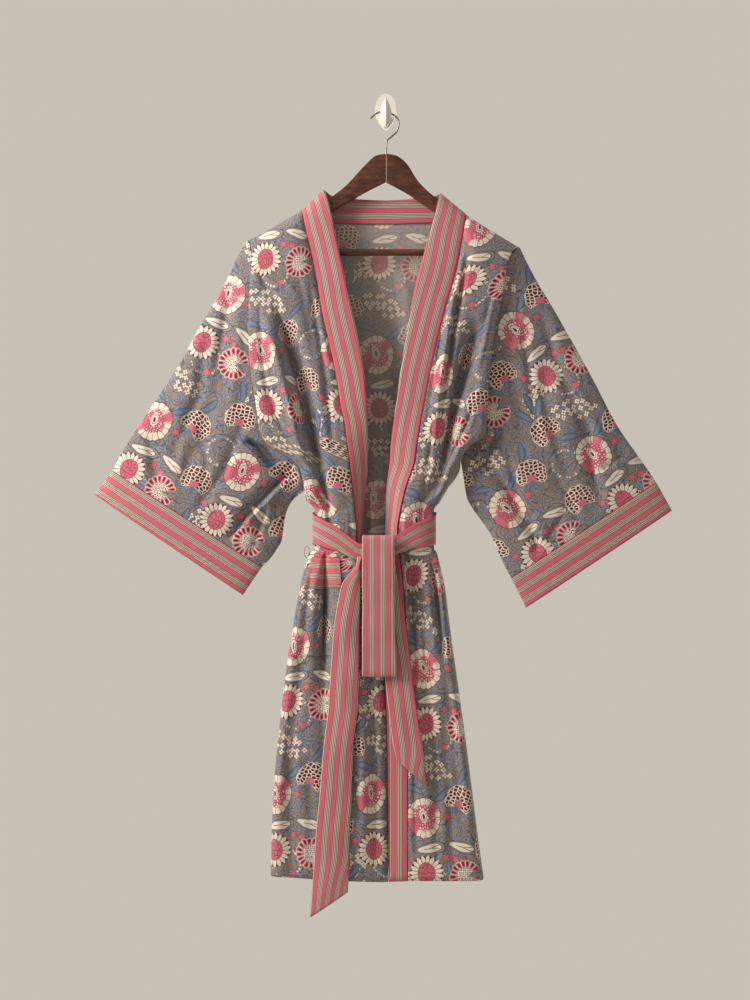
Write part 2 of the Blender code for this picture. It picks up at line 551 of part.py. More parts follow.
def sleeve_point(side, u, v):
    """Point of a sleeve: u round from the top fold by the front, v from armhole to cuff."""
    columns = SLEEVE[side]
    row = v * (len(columns["top_x"]) - 1)
    top_x, top_z, low_x, low_z = (smooth(values, row) for values in columns.values())
    middle, front, back = (smooth(values, row) for values in SLEEVE_DEPTH.values())
    down = 0.5 - 0.5 * math.cos(2 * math.pi * u)
    x = top_x + (low_x - top_x) * down
    z = top_z + (low_z - top_z) * down
    x += ARMHOLE[side]["bow"] * math.sin(math.pi * down ** 0.6) * ease(v, 0.45, 0.0)
    out = bulge(down, v)
    if u <= 0.5:
        trough = fold_depth(SLEEVE_FOLDS[side], x, z) * ease(v, 0.06, 0.22) * ease(v, 0.98, 0.85)
        y = middle - front * out + min(trough, 0.75 * front * out)
    else:
        wave = fold_depth(SLEEVE_FOLDS[side], x + 0.02, z + 0.01) * ease(v, 0.06, 0.22) * ease(v, 0.98, 0.85)
        y = middle + back * out - min(0.6 * wave, 0.5 * back * out)
    x -= ARMHOLE[side]["inward"] * 0.5 * SEAM_GAP * ease(v, 0.1, 0.0)
    return x, y, z


def cuff_point(side, u, v):
    """Point of a cuff: it carries the sleeve's end on."""
    start = Vector(sleeve_point(side, u, 1.0))
    end = CUFF_END[side]
    down = 0.5 - 0.5 * math.cos(2 * math.pi * u)
    sweep = math.copysign(CUFF_DEPTH * bulge(down, 1.0), u - 0.5)
    far = Vector((end["top"][0] + (end["low"][0] - end["top"][0]) * down, -0.046 + sweep,
                  end["top"][1] + (end["low"][1] - end["top"][1]) * down))
    gap = SEAM_GAP / (far - start).length
    return start.lerp(far, gap + (1 - gap) * v)


def sash_point(u, v):
    """Point of the sash round the waist: u round it from the viewer's left by the front."""
    turn = 2 * math.pi * u
    cos, sin = math.cos(turn), math.sin(turn)
    power = 2 / WAIST_POWER
    x = WAIST_X - SASH_HALF[0] * math.copysign(abs(cos) ** power, cos)
    y = WAIST_Y - SASH_HALF[1] * math.copysign(abs(sin) ** power, sin)
    front = ease(sin, -0.1, 0.25)
    z = -0.6845 + (float(np.interp(x, SASH_FRONT["x"], SASH_FRONT["z"])) + 0.6845) * front
    half = 0.0265 + (float(np.interp(x, SASH_FRONT["x"], SASH_FRONT["half"])) - 0.0265) * front
    return x, y, z + half * (1 - 2 * v)


def front_face(z):
    """How far the fronts stand out at a height."""
    return at_height(FRONT["left"], "front_y", z, "inner_z")


def strip_point(columns, u, v, cup, slant):
    """Point of a hanging end of the sash: u across it, v down it. slant is the rise of its cut end."""
    row = v * (len(columns["z"]) - 1)
    z, left_x, right_x, off = (smooth(values, row) for values in columns.values())
    crown = math.sin(math.pi * u)
    z += slant * (u - 0.5) * ease(v, 0.86, 1.0)
    return left_x + (right_x - left_x) * u, front_face(z) - off - cup * crown, z


def even(count, low=0.0, high=1.0):
    return [low + (high - low) * place / count for place in range(count + 1)]


def shoulder_spread(count):
    """Columns of a front, closer together round its outer fold."""
    return [0.0, 0.05, 0.10, 0.15] + even(count - 4, 0.2, 1.0)


def add_robe(group, print_cloth, stripe):
    rows = even(FRONT_ROWS - 1)
    columns = shoulder_spread(FRONT_COLUMNS)
    bands = even(FRONT_ROWS - 1)
    for side in ("left", "right"):
        cloth("front_" + side, lambda u, v: front_point(side, u, v), columns, rows, WALL, print_cloth, group)
        cloth("band_" + side, lambda u, v: band_point(side, u, v), even(4), bands, BAND_WALL, stripe, group)
        cloth("sleeve_" + side, lambda u, v: sleeve_point(side, u, v), even(24), even(13), WALL,
              print_cloth, group, ring=True)
        cloth("cuff_" + side, lambda u, v: cuff_point(side, u, v), even(24), even(2), BAND_WALL,
              stripe, group, ring=True)
    cloth("back", back_point, BACK_COLUMNS, even(len(BACK_ROWS["z"]) - 1), WALL, print_cloth, group)
    cloth("band_neck", neck_band_point, even(3), even(24), BAND_WALL, stripe, group)


def add_pocket(group, print_cloth, stripe):
    """The pocket lies on the viewer's left front, on the front's own columns and rows."""
    columns = shoulder_spread(FRONT_COLUMNS)[3:13]
    hair = 0.003
    lift = (WALL + BAND_WALL) / 2 + SEAM_GAP

    def row(number):
        return number / (FRONT_ROWS - 1)

    cloth("pocket_trim", lambda u, v: moved_out("left", u, v, lift), columns,
          [row(19), row(20 - hair)], BAND_WALL, stripe, group)
    cloth("pocket", lambda u, v: moved_out("left", u, v, WALL + SEAM_GAP), columns,
          [row(20 + hair), row(21), row(22)], WALL, print_cloth, group)


def add_sash(group, stripe):
    cloth("sash_wrap", sash_point, even(48), even(2), SASH_WALL, stripe, group, ring=True)
    for name, columns, cup, slant, count in (("sash_tail_long", TAIL_LONG, 0.003, 0.041, 16),
                                             ("sash_tail_short", TAIL_SHORT, 0.0015, -0.043, 12),
                                             ("sash_loop", SASH_LOOP, 0.001, 0.0, 28)):
        cloth(name, lambda u, v: strip_point(columns, u, v, cup, slant), even(4), even(count), SASH_WALL,
              stripe, group)
    knot = bmesh.new()
    bmesh.ops.create_uvsphere(knot, u_segments=14, v_segments=8, radius=1.0)
    for point in knot.verts:
        x, y, z = point.co
        flat = 1 - 0.12 * z * z
        point.co = Vector((-0.0135 + 0.0275 * x * flat, -0.0841 + 0.0063 * y, -0.7215 + 0.0175 * z))
    data = bpy.data.meshes.new("sash_knot")
    knot.to_mesh(data)
    knot.free()
    data.shade_smooth()
    add("sash_knot", data, stripe, group)


def loop_point(u, v):
    """Belt loop at the viewer's left side seam."""
    turn = 2 * math.pi * u
    return (-0.12875 + 0.0040 * math.cos(turn), -0.0465 + 0.0050 * (v - 0.5),
            -0.7225 + 0.0090 * math.sin(turn))


def add_hanger(group, wood, steel):
    for side, outline in WOOD_OUTLINE.items():
        curve = bpy.data.curves.new("hanger_wood_" + side, "CURVE")
        curve.dimensions = "2D"
        curve.fill_mode = "BOTH"
        curve.extrude = WOOD_THICK / 2
        spline = curve.splines.new("POLY")
        spline.points.add(len(outline) - 1)
        for point, (x, z) in zip(spline.points, outline):
            point.co = (x * MM, z * MM, 0, 1)
        spline.use_cyclic_u = True
        half = add("hanger_wood_" + side, curve, wood, group)
        half.rotation_euler = (math.pi / 2, 0, 0)
        half.location = (0, HANG_Y, 0)
        weld = half.modifiers.new("weld", "WELD")
        weld.merge_threshold = 0.00001
        rounding = half.modifiers.new("round", "BEVEL")
        rounding.width = 0.003
        rounding.segments = 2
        rounding.limit_method = "ANGLE"
        rounding.angle_limit = math.radians(60)
    bar = bpy.data.meshes.new("hanger_bar")
    made = bmesh.new()
    bmesh.ops.create_cone(made, cap_ends=True, segments=20, radius1=BAR_RADIUS, radius2=BAR_RADIUS,
                          depth=BAR_ENDS[1] - BAR_ENDS[0])
    made.to_mesh(bar)
    made.free()
    bar.shade_smooth()
    bar.set_sharp_from_angle(angle=math.radians(40))
    rod = add("hanger_bar", bar, wood, group)
    rod.rotation_euler = (0, math.pi / 2, 0)
    rod.location = ((BAR_ENDS[0] + BAR_ENDS[1]) / 2, HANG_Y, BAR_Z)
    wire = bpy.data.curves.new("hanger_hook", "CURVE")
    wire.dimensions = "3D"
    wire.bevel_depth = WIRE_RADIUS
    wire.bevel_resolution = 2
    wire.use_fill_caps = True
    spline = wire.splines.new("POLY")
    places = even(32, 0, len(WIRE_ROUTE) - 1)
    spline.points.add(len(places) - 1)
    for point, place in zip(spline.points, places):
        x, z = through(WIRE_ROUTE, list(range(len(WIRE_ROUTE))), place)
        point.co = (x * MM, HANG_Y, z * MM, 1)
    add("hanger_hook", wire, steel, group)


def add_wall_hook(group, plastic):
    plate = bmesh.new()
    bmesh.ops.create_cone(plate, cap_ends=True, segments=40, radius1=0.5, radius2=0.5, depth=1.0)
    for point in plate.verts:
        x, z = point.co.x * 2, point.co.y * 2
        power = PLATE_TOP if z > 0 else PLATE_FOOT
        spread = (abs(x) ** power + abs(z) ** power) ** (1 / power)
        point.co = Vector((PLATE_CENTRE[0] + PLATE_SIZE[0] / 2 * x / spread,
                           PLATE_CENTRE[1] + PLATE_SIZE[1] * point.co.z,
                           PLATE_CENTRE[2] + PLATE_SIZE[2] / 2 * z / spread))
    bmesh.ops.recalc_face_normals(plate, faces=plate.faces)
    data = bpy.data.meshes.new("wall_hook")
    plate.to_mesh(data)
    plate.free()
    hook = add("wall_hook", data, plastic, group)
    side = bpy.data.curves.new("hook_side", "CURVE")
    side.dimensions = "2D"
    side.fill_mode = "BOTH"
    side.extrude = HOOK_WIDTH / 2
    spline = side.splines.new("POLY")
    spline.points.add(len(HOOK_SIDE) - 1)
    for point, (y, z) in zip(spline.points, HOOK_SIDE):
        point.co = (y * MM, z * MM, 0, 1)
    spline.use_cyclic_u = True
    guide = bpy.data.objects.new("hook_side", side)
    bpy.context.scene.collection.objects.link(guide)
    guide.rotation_euler = (math.pi / 2, 0, math.pi / 2)
    bpy.context.view_layer.update()
    arm = bpy.data.meshes.new_from_object(guide.evaluated_get(bpy.context.evaluated_depsgraph_get()))
    welded = bmesh.new()
    welded.from_mesh(arm)
    bmesh.ops.remove_doubles(welded, verts=welded.verts, dist=0.00001)
    welded.to_mesh(arm)
    welded.free()
    cutters = bpy.data.collections.new("cutters")
    bpy.context.scene.collection.children.link(cutters)
    joined = bpy.data.objects.new("hook_arm", arm)
    cutters.objects.link(joined)
    joined.matrix_world = guide.matrix_world
    joined.hide_render = True
    joined.display_type = "WIRE"
    bpy.data.objects.remove(guide, do_unlink=True)
    union = hook.modifiers.new("arm", "BOOLEAN")
    union.operation = "UNION"
    union.object = joined
    rounding = hook.modifiers.new("round", "BEVEL")
    rounding.width = 0.0008
    rounding.segments = 2
    rounding.limit_method = "ANGLE"
    rounding.angle_limit = math.radians(50)
    leaf = bmesh.new()
    rings = []
    for z, half, edge, ridge, back in zip(*LIP.values(), LIP_BACK):
        section = ((-half, back * MM), (-half, edge), (0, ridge), (half, edge), (half, back * MM))
        rings.append([leaf.verts.new((x, y, z)) for x, y in section])
    for above, below in zip(rings, rings[1:]):
        for at in range(5):
            leaf.faces.new((above[at], above[(at + 1) % 5], below[(at + 1) % 5], below[at]))
    leaf.faces.new(rings[0])
    leaf.faces.new(rings[-1])
    bmesh.ops.recalc_face_normals(leaf, faces=leaf.faces)
    lip = bpy.data.meshes.new("hook_lip")
    leaf.to_mesh(lip)
    leaf.free()
    lipped = bpy.data.objects.new("hook_lip", lip)
    cutters.objects.link(lipped)
    lipped.hide_render = True
    lipped.display_type = "WIRE"
    union = hook.modifiers.new("lip", "BOOLEAN")
    union.operation = "UNION"
    union.object = lipped


def main():
    clear_scene()
    group = bpy.data.collections.new("kimono_robe")
    bpy.context.scene.collection.children.link(group)
    print_cloth = material("printed_cotton", PRINT, 0.85)
    stripe = material("striped_cotton", STRIPE, 0.82)
    wood = material("dark_wood", WOOD, 0.4)
    steel = material("steel_wire", STEEL, 0.35, 1.0)
    plastic = material("white_plastic", PLASTIC, 0.4)
    add_robe(group, print_cloth, stripe)
    add_pocket(group, print_cloth, stripe)
    add_sash(group, stripe)
    cloth("belt_loop", loop_point, even(14), even(1), WALL, print_cloth, group, ring=True)
    add_hanger(group, wood, steel)
    add_wall_hook(group, plastic)


main()
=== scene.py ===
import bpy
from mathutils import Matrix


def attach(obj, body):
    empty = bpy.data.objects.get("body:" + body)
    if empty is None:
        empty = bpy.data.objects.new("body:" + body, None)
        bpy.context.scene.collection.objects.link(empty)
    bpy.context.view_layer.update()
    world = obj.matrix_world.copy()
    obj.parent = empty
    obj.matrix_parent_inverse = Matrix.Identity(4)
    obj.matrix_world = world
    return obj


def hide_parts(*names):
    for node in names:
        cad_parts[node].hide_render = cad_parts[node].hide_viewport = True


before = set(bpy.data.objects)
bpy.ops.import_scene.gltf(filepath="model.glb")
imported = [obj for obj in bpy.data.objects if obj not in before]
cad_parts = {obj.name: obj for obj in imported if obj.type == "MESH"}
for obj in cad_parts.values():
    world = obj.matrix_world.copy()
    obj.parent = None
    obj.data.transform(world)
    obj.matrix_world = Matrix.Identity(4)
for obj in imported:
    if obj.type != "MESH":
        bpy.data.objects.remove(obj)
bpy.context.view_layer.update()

# Kimono robe on a wooden hanger: the looks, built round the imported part.
# Metres, +Z up, wall at y = 0. Rows of the tables are in millimetres.
import math

import bmesh
import bpy
import numpy as np
from mathutils import Vector, noise

mm = 0.001


def rowsOf(names, *rows):
    return {name: np.array(column, dtype=float) * mm for name, column in zip(names.split(), zip(*rows))}


def smoothAt(values, place):  # between rows, with no overshoot
    last = len(values) - 1
    row = max(0, min(int(place), last - 1))
    part = place - row

    def step(at):
        return values[at + 1] - values[at]

    def slope(at):
        if at in (0, last):
            return step(0) if at == 0 else step(last - 1)
        before, after = step(at - 1), step(at)
        return 0.0 if before * after <= 0 else 2 * before * after / (before + after)

    bend = part * (1 - part)
    return (values[row] + step(row) * part * part * (3 - 2 * part)
            + bend * ((1 - part) * slope(row) - part * slope(row + 1)))


def valuesAt(columns, place):  # a whole row of a table, from the first at 0 to the last at 1
    return [smoothAt(values, place * (len(values) - 1)) for values in columns.values()]


def atHeight(columns, name, z, height="z"):  # straight between rows, at a height
    return float(np.interp(-z, -columns[height], columns[name]))


def ease(value, low, high):
    part = max(0.0, min(1.0, (value - low) / (high - low)))
    return part * part * (3 - 2 * part)


def through(points, knots, place):  # smooth curve through a few points
    span = max(0, min(len(knots) - 2, sum(1 for knot in knots[1:-1] if place >= knot)))
    part = (place - knots[span]) / (knots[span + 1] - knots[span])
    ends = (points[max(span - 1, 0)], points[span], points[span + 1], points[min(span + 2, len(points) - 1)])
    result = []
    for before, start, stop, after in zip(*ends):
        leanIn = (stop - before) * 0.5
        leanOut = (after - start) * 0.5
        cube = 2 * start - 2 * stop + leanIn + leanOut
        square = -3 * start + 3 * stop - 2 * leanIn - leanOut
        result.append(((cube * part + square) * part + leanIn) * part + start)
    return result


def between(start, stop, part):
    return start + (stop - start) * part


def even(count, low=0.0, high=1.0):
    return [low + (high - low) * place / count for place in range(count + 1)]


def placed(name, data):  # a new object in the scene
    made = bpy.data.objects.new(name, data)
    bpy.context.scene.collection.objects.link(made)
    return made


# Camera and light
print("stage: camera and lights")
view = dict(centre=(-0.0178, -0.060, -0.6383), distance=3.5, heightSeen=1.62)


def addCamera():
    data = bpy.data.cameras.new("camera")
    data.sensor_fit = "VERTICAL"
    data.angle = 2 * math.atan(view["heightSeen"] / 2 / view["distance"])
    camera = placed("camera", data)
    x, y, z = view["centre"]
    camera.location = (x, y - view["distance"], z)
    camera.rotation_euler = (math.pi / 2, 0, 0)
    bpy.context.scene.camera = camera


lamps = dict(
    window=dict(place=(-1.6, -0.85, 0.32), size=(0.8, 1.4), power=46, colour=(1.0, 0.96, 0.90)),
    room=dict(place=(-0.6, -3.6, 0.2), size=(2.6, 2.2), power=3, colour=(0.96, 0.97, 1.0)),
    top=dict(place=(-0.2, -0.3, 1.9), size=(2.4, 1.6), power=8, colour=(1.0, 0.98, 0.95)),
    behind=dict(place=(0.6, 2.8, 0.3), size=(2.6, 2.2), power=30, colour=(1.0, 0.98, 0.95)))
lampsAim = (0, -0.05, -0.62)


def addLight(name, lamp):
    data = bpy.data.lights.new(name, "AREA")
    data.shape = "RECTANGLE"
    data.size, data.size_y = lamp["size"]
    data.energy = lamp["power"]
    data.color = lamp["colour"]
    made = placed(name, data)
    made.location = lamp["place"]
    aim = Vector(lampsAim) - Vector(lamp["place"])
    made.rotation_euler = aim.to_track_quat("-Z", "Y").to_euler()


addCamera()
for name, lamp in lamps.items():
    addLight(name, lamp)

# Materials
print("stage: materials")


def tone(*parts):  # a colour as a paint chart gives it, 0 to 255
    return tuple(((part / 255 + 0.055) / 1.055) ** 2.4 if part > 10 else part / 255 / 12.92
                 for part in parts)


class Value:
    # A socket on which maths can be written.
    def __init__(self, paint, socket, owner=None):
        self.paint, self.socket, self.owner = paint, socket, owner

    def output(self, name):
        return Value(self.paint, self.owner.outputs[name], self.owner)

    def math(self, operation, *others, clamp=False):
        return self.paint.node("ShaderNodeMath", dict(operation=operation, use_clamp=clamp), self, *others)

    def __add__(self, other):
        return self.math("ADD", other)

    def __sub__(self, other):
        return self.math("SUBTRACT", other)

    def __mul__(self, other):
        return self.math("MULTIPLY", other)

    def __truediv__(self, other):
        return self.math("DIVIDE", other)

    def __radd__(self, other):
        return self + other

    def __rmul__(self, other):
        return self * other

    def __rsub__(self, other):
        return self.paint.node("ShaderNodeMath", dict(operation="SUBTRACT"), other, self)

    def __abs__(self):
        return self.math("ABSOLUTE")

    def under(self, edge, soft):  # 1 below the edge, 0 above it
        if isinstance(edge, Value):
            return (self - edge).under(0.0, soft)
        return self.math("MULTIPLY_ADD", -1 / soft, edge / soft + 0.5, clamp=True)

    def over(self, edge, soft):
        if isinstance(edge, Value):
            return (self - edge).over(0.0, soft)
        return self.math("MULTIPLY_ADD", 1 / soft, 0.5 - edge / soft, clamp=True)

    def least(self, other):
        return self.math("MINIMUM", other)

    def most(self, other):
        return self.math("MAXIMUM", other)


class Paint:
    # One material and its nodes.
    def __init__(self, name):
        self.material = bpy.data.materials.new(name)
        self.material.use_nodes = True
        self.tree = self.material.node_tree
        self.shader = self.tree.nodes["Principled BSDF"]
        self.drawn = None  # the colour so far, with all that is stamped on it

    def node(self, kind, settings, *values, **named):
        made = self.tree.nodes.new(kind)
        for key, value in settings.items():
            if key == "ramp":
                while len(made.color_ramp.elements) < len(value):
                    made.color_ramp.elements.new(1.0)
                for stop, (place, colour) in zip(made.color_ramp.elements, value):
                    stop.position, stop.color = place, (*colour, 1.0)
            else:
                setattr(made, key, value)
        links = [(made.inputs[at], value) for at, value in enumerate(values)]
        links += [(made.inputs[key.replace("_", " ")], value) for key, value in named.items()]
        for socket, value in links:
            if isinstance(value, Value):
                self.tree.links.new(value.socket, socket)
            elif value is not None:
                socket.default_value = value
        return Value(self, made.outputs[0], made)

    def mix(self, mask, base, colour):
        made = self.tree.nodes.new("ShaderNodeMix")
        made.data_type = "RGBA"
        for at, value in ((0, mask), (6, base), (7, colour)):
            if isinstance(value, Value):
                self.tree.links.new(value.socket, made.inputs[at])
            else:
                made.inputs[at].default_value = (*value, 1.0) if isinstance(value, tuple) else value
        return Value(self, made.outputs[2], made)

    def stamp(self, mask, ink):
        self.drawn = self.mix(mask, self.drawn, inks[ink] if isinstance(ink, str) else ink)

    def vector(self, operation, *values):
        return self.node("ShaderNodeVectorMath", dict(operation=operation), *values)

    def split(self, place):
        parts = self.node("ShaderNodeSeparateXYZ", {}, place)
        return parts.output("X"), parts.output("Y")

    def length(self, place):
        return self.vector("LENGTH", place).output("Value")

    def noise(self, place, scale, detail=2.0, rough=0.5):
        return self.node("ShaderNodeTexNoise", {}, Vector=place, Scale=scale, Detail=detail, Roughness=rough)

    def cells(self, place, scale, random=1.0, feature="F1"):
        return self.node("ShaderNodeTexVoronoi", dict(feature=feature, voronoi_dimensions="2D"),
                         Vector=place, Scale=scale, Randomness=random)

    def turned(self, place, angle):
        return self.node("ShaderNodeVectorRotate", dict(rotation_type="Z_AXIS"), Vector=place, Angle=angle)

    def send(self, **sockets):
        for name, value in sockets.items():
            socket = self.shader.inputs[name.replace("_", " ")]
            if isinstance(value, Value):
                self.tree.links.new(value.socket, socket)
            else:
                socket.default_value = (*value, 1.0) if isinstance(value, tuple) else value
        return self.material


inks = dict(
    ground=tone(152, 137, 128), shade=tone(124, 112, 107), bare=tone(222, 204, 190),
    cream=tone(232, 220, 205), pink=tone(205, 112, 127), deepPink=tone(170, 66, 88),
    maroon=tone(108, 34, 42), brown=tone(92, 72, 70), blue=tone(106, 119, 145),
    paleBlue=tone(136, 147, 168), slate=tone(82, 90, 112), black=(0.0, 0.0, 0.0),
    stripePink=tone(210, 106, 119), stripeDark=tone(140, 48, 62), stripeCream=tone(222, 206, 190),
    stripeLine=tone(92, 66, 62), stripeTaupe=tone(172, 150, 138))

# One repeat of the block print, in millimetres, with each block at (x, y) and turned by an angle in degrees.
printBlocks = dict(
    repeat=(165, 238),
    roundFlower=dict(radius=31, petals=17, at=((0, 0, 0),)),
    pointedFlower=dict(radius=29, petals=19, at=((3, -88, 0),)),
    ringFlower=dict(radius=26, petals=17, at=((65, -93, 25),)),
    fan=dict(radius=24, at=((62, 27, -20), (-46, 73, 20), (-58, -50, 5))),
    pod=dict(size=(20, 6.4), at=((8, -49, 8), (60, -46, -14))),
    leaf=dict(size=(19, 6.0), at=((-16, 46, 155), (-62, 112, 118), (-44, 126, 84), (-34, 112, 50),
                                  (66, 64, 60), (30, 34, 40))),
    star=dict(radius=7.5, points=5,
              at=((34, 112, 0), (-30, -74, 40), (34, -64, 80), (50, -67, 10), (40, 2, 30))),
    spray=dict(radii=(36, 17), at=((12, 80, -24), (-36, -112, 35))),
    ring=dict(radius=28, beads=26, at=((-46, 12, 0), (24, 128, 0))))
edgeSoft = 0.0005  # how far a block's ink fades at its edge


def placeOf(paint, cloth, spot):  # local place inside one block, repeated over the cloth
    width, height = (side * mm for side in printBlocks["repeat"])
    x, y, angle = spot
    moved = paint.vector("SUBTRACT", cloth, (x * mm, y * mm, 0))
    wrapped = paint.vector("WRAP", moved, (width / 2, height / 2, 1), (-width / 2, -height / 2, -1))
    return paint.turned(wrapped, -math.radians(angle)) if angle else wrapped


def nearest(paint, cloth, spots, stretch=(1, 1, 1)):
    best = placeOf(paint, cloth, spots[0])
    least = paint.length(paint.vector("MULTIPLY", best, stretch))
    for spot in spots[1:]:
        place = placeOf(paint, cloth, spot)
        away = paint.length(paint.vector("MULTIPLY", place, stretch))
        nearer = away.math("LESS_THAN", least)
        least = least.least(away)
        made = paint.tree.nodes.new("ShaderNodeMix")
        made.data_type = "VECTOR"
        for at, value in ((0, nearer), (4, best), (5, place)):
            paint.tree.links.new(value.socket, made.inputs[at])
        best = Value(paint, made.outputs[1], made)
    return best


def polar(paint, place):
    x, y = paint.split(place)
    return paint.length(place), y.math("ARCTAN2", x)


def petalPlace(angle, count):  # 0 at a petal's sides, 1 at its middle
    return (angle * (count / (2 * math.pi)) + 50.0).math("FRACT").math("PINGPONG", 0.5) * 2.0


def drawVines(paint, cloth):
    bent = paint.noise(cloth, 26.0, 1.0, 0.4)
    for level in (0.40, 0.47, 0.54, 0.61):
        paint.stamp(abs(bent - level).under(0.008, 0.006) * 0.85, "slate")
    ring = printBlocks["ring"]
    away, angle = polar(paint, nearest(paint, cloth, ring["at"]))
    line = abs(away - ring["radius"] * mm).under(0.0008, edgeSoft)
    paint.stamp(line * angle.over(-1.9, 0.05), "slate")
    bead = (angle * (ring["beads"] / (2 * math.pi)) + 50.0).math("FRACT") - 0.5
    inner = away - (ring["radius"] - 5.5) * mm
    drop = (bead * 0.0062).math("POWER", 2.0) + inner.math("POWER", 2.0)
    paint.stamp(drop.under(0.0022 ** 2, 0.0000012) * 0.9, "cream")


def drawLeaflets(paint, cloth):
    for scale, long, wide, filled in ((58.0, 0.0105, 0.0026, 0.55), (96.0, 0.0056, 0.0020, 0.42)):
        cell = paint.cells(cloth, scale, 0.85)
        middle = cell.output("Position")
        turn = paint.split(cell.output("Color"))[0] * (2 * math.pi)
        x, y = paint.split(paint.turned(paint.vector("SUBTRACT", cloth, middle), turn))
        reach = (x / long).math("POWER", 2.0)
        lens = abs(y) - (1.0 - reach) * wide
        paint.stamp(lens.under(0.0003, edgeSoft), "slate")
        hollow = paint.split(cell.output("Color"))[1].over(filled, 0.05)
        fill = paint.mix(hollow, inks["paleBlue"], inks["ground"])
        paint.stamp(lens.under(-0.0004, edgeSoft), fill)


def drawSprays(paint, cloth):
    cell = paint.cells(cloth, 96.0, 0.55)
    middle = cell.output("Position")
    spray = printBlocks["spray"]
    around = nearest(paint, middle, spray["at"])
    wide, high = (side * mm for side in spray["radii"])
    inside = paint.length(paint.vector("DIVIDE", around, (wide, high, 1))).under(1.0, 0.02)
    away, angle = polar(paint, paint.vector("SUBTRACT", cloth, middle))
    tip = 0.0022 + abs((angle * 2.0).math("COSINE")) * 0.0026
    paint.stamp((away - tip).under(0.0006, edgeSoft) * inside, "brown")
    paint.stamp((away - tip).under(-0.0001, edgeSoft) * inside, "cream")
    paint.stamp(away.under(0.0011, edgeSoft) * inside, "deepPink")


def drawLeaves(paint, cloth):
    leaf = printBlocks["leaf"]
    long, wide = (side * mm for side in leaf["size"])
    x, y = paint.split(nearest(paint, cloth, leaf["at"], (1, 2.2, 1)))
    reach = x / long
    bend = y - reach * reach * 0.003
    edge = (1.0 - reach * reach) * (1.0 + reach * 0.35).most(0.1) * wide
    lens = abs(bend) - edge
    paint.stamp(lens.under(0.0004, edgeSoft), "slate")
    fill = paint.mix((abs(bend) / wide).over(0.30, 0.25), inks["paleBlue"], inks["blue"])
    paint.stamp(lens.under(-0.0009, edgeSoft), fill)
    side = abs(((x - abs(bend) * 1.2) / 0.0042).math("FRACT") - 0.5).under(0.10, 0.08)
    side = side * lens.under(-0.0009, edgeSoft)
    middle = abs(bend).under(0.0004, edgeSoft) * lens.under(-0.001, edgeSoft)
    paint.stamp(side.most(middle) * 0.7, "slate")


def drawStars(paint, cloth):
    star = printBlocks["star"]
    away, angle = polar(paint, nearest(paint, cloth, star["at"]))
    half = 0.5 * star["radius"] * mm
    tip = petalPlace(angle, star["points"]) * half + half
    paint.stamp((away - tip).under(0.0006, edgeSoft), "maroon")
    paint.stamp((away - tip).under(-0.0003, edgeSoft), "pink")


def drawPods(paint, cloth):
    pod = printBlocks["pod"]
    long, wide = (side * mm for side in pod["size"])
    x, y = paint.split(nearest(paint, cloth, pod["at"], (1, 2, 1)))
    bud = y / (wide * (1.0 + x * 14.0))
    oval = ((x / long).math("POWER", 2.0) + bud.math("POWER", 2.0)).math("SQRT")
    paint.stamp(oval.under(1.42, 0.06), "slate")
    paint.stamp(oval.under(1.28, 0.05), "ground")
    paint.stamp(oval.under(1.10, 0.04), "slate")
    paint.stamp(oval.under(1.0, 0.04), "cream")
    seam = abs(abs(y) - (x - 0.003).most(0.0) * 0.24).under(0.0005, edgeSoft) * oval.under(0.98, 0.03)
    seam = seam * x.over(-0.009, 0.002)
    paint.stamp(seam, "maroon")


def drawFans(paint, cloth):
    fan = printBlocks["fan"]
    radius = fan["radius"] * mm
    place = nearest(paint, cloth, fan["at"])
    x, y = paint.split(place)
    away, angle = polar(paint, place)
    stem = abs(x).under(0.0030, edgeSoft) * abs(y + radius * 0.62).under(radius * 0.30, edgeSoft)
    paint.stamp(stem, "blue")
    lobes = abs((angle * 5.0).math("SINE")) * 0.0016
    foot = y + abs(x) * 0.35
    whole = (away - lobes).under(radius, edgeSoft) * foot.over(-radius * 0.42, edgeSoft)
    inner = (away - lobes).under(radius - 0.0010, edgeSoft) * foot.over(-radius * 0.37, edgeSoft)
    wall = paint.cells(paint.vector("MULTIPLY", place, (1, 1.25, 1)), 142.0, 0.55, "DISTANCE_TO_EDGE")
    rim = (away - lobes).under(radius + 0.0007, edgeSoft) * whole.most(0.0).over(0.02, 0.02)
    paint.stamp(rim, "maroon")
    paint.stamp(whole, "cream")
    hole = wall.output("Distance").over(0.125, 0.06) * inner
    paint.stamp(hole, "maroon")
    heart = paint.length(paint.vector("ADD", place, (0, radius * 0.30, 0))).under(radius * 0.30, edgeSoft)
    paint.stamp(heart * whole, "pink")


def drawRingFlowers(paint, cloth):
    flower = printBlocks["ringFlower"]
    radius = flower["radius"] * mm
    away, angle = polar(paint, nearest(paint, cloth, flower["at"]))
    petal = petalPlace(angle, flower["petals"])
    gap = abs(angle + 0.25).under(0.30, 0.03) * away.over(radius * 0.15, edgeSoft)
    solid = 1.0 - gap
    outer = radius * 0.94 + petal * 0.0018
    paint.stamp((away - outer).under(0.0, edgeSoft) * solid, "cream")
    ringBand = (away - outer).under(-0.0008, edgeSoft) * away.over(radius * 0.52, edgeSoft)
    paint.stamp(ringBand * petal.over(0.16, 0.1) * solid, "pink")
    across = (1.0 - petal) * 0.0048
    drop = (across * across + ((away - radius * 0.76) * 0.55).math("POWER", 2.0)).math("SQRT")
    paint.stamp(drop.under(0.0021, 0.0004) * solid, "maroon")
    centre = away.under(radius * 0.52, edgeSoft) * solid
    paint.stamp(centre, "cream")
    seeds = paint.cells(cloth, 330.0, 0.5).output("Distance").under(0.30, 0.08) * centre
    paint.stamp(seeds, "brown")


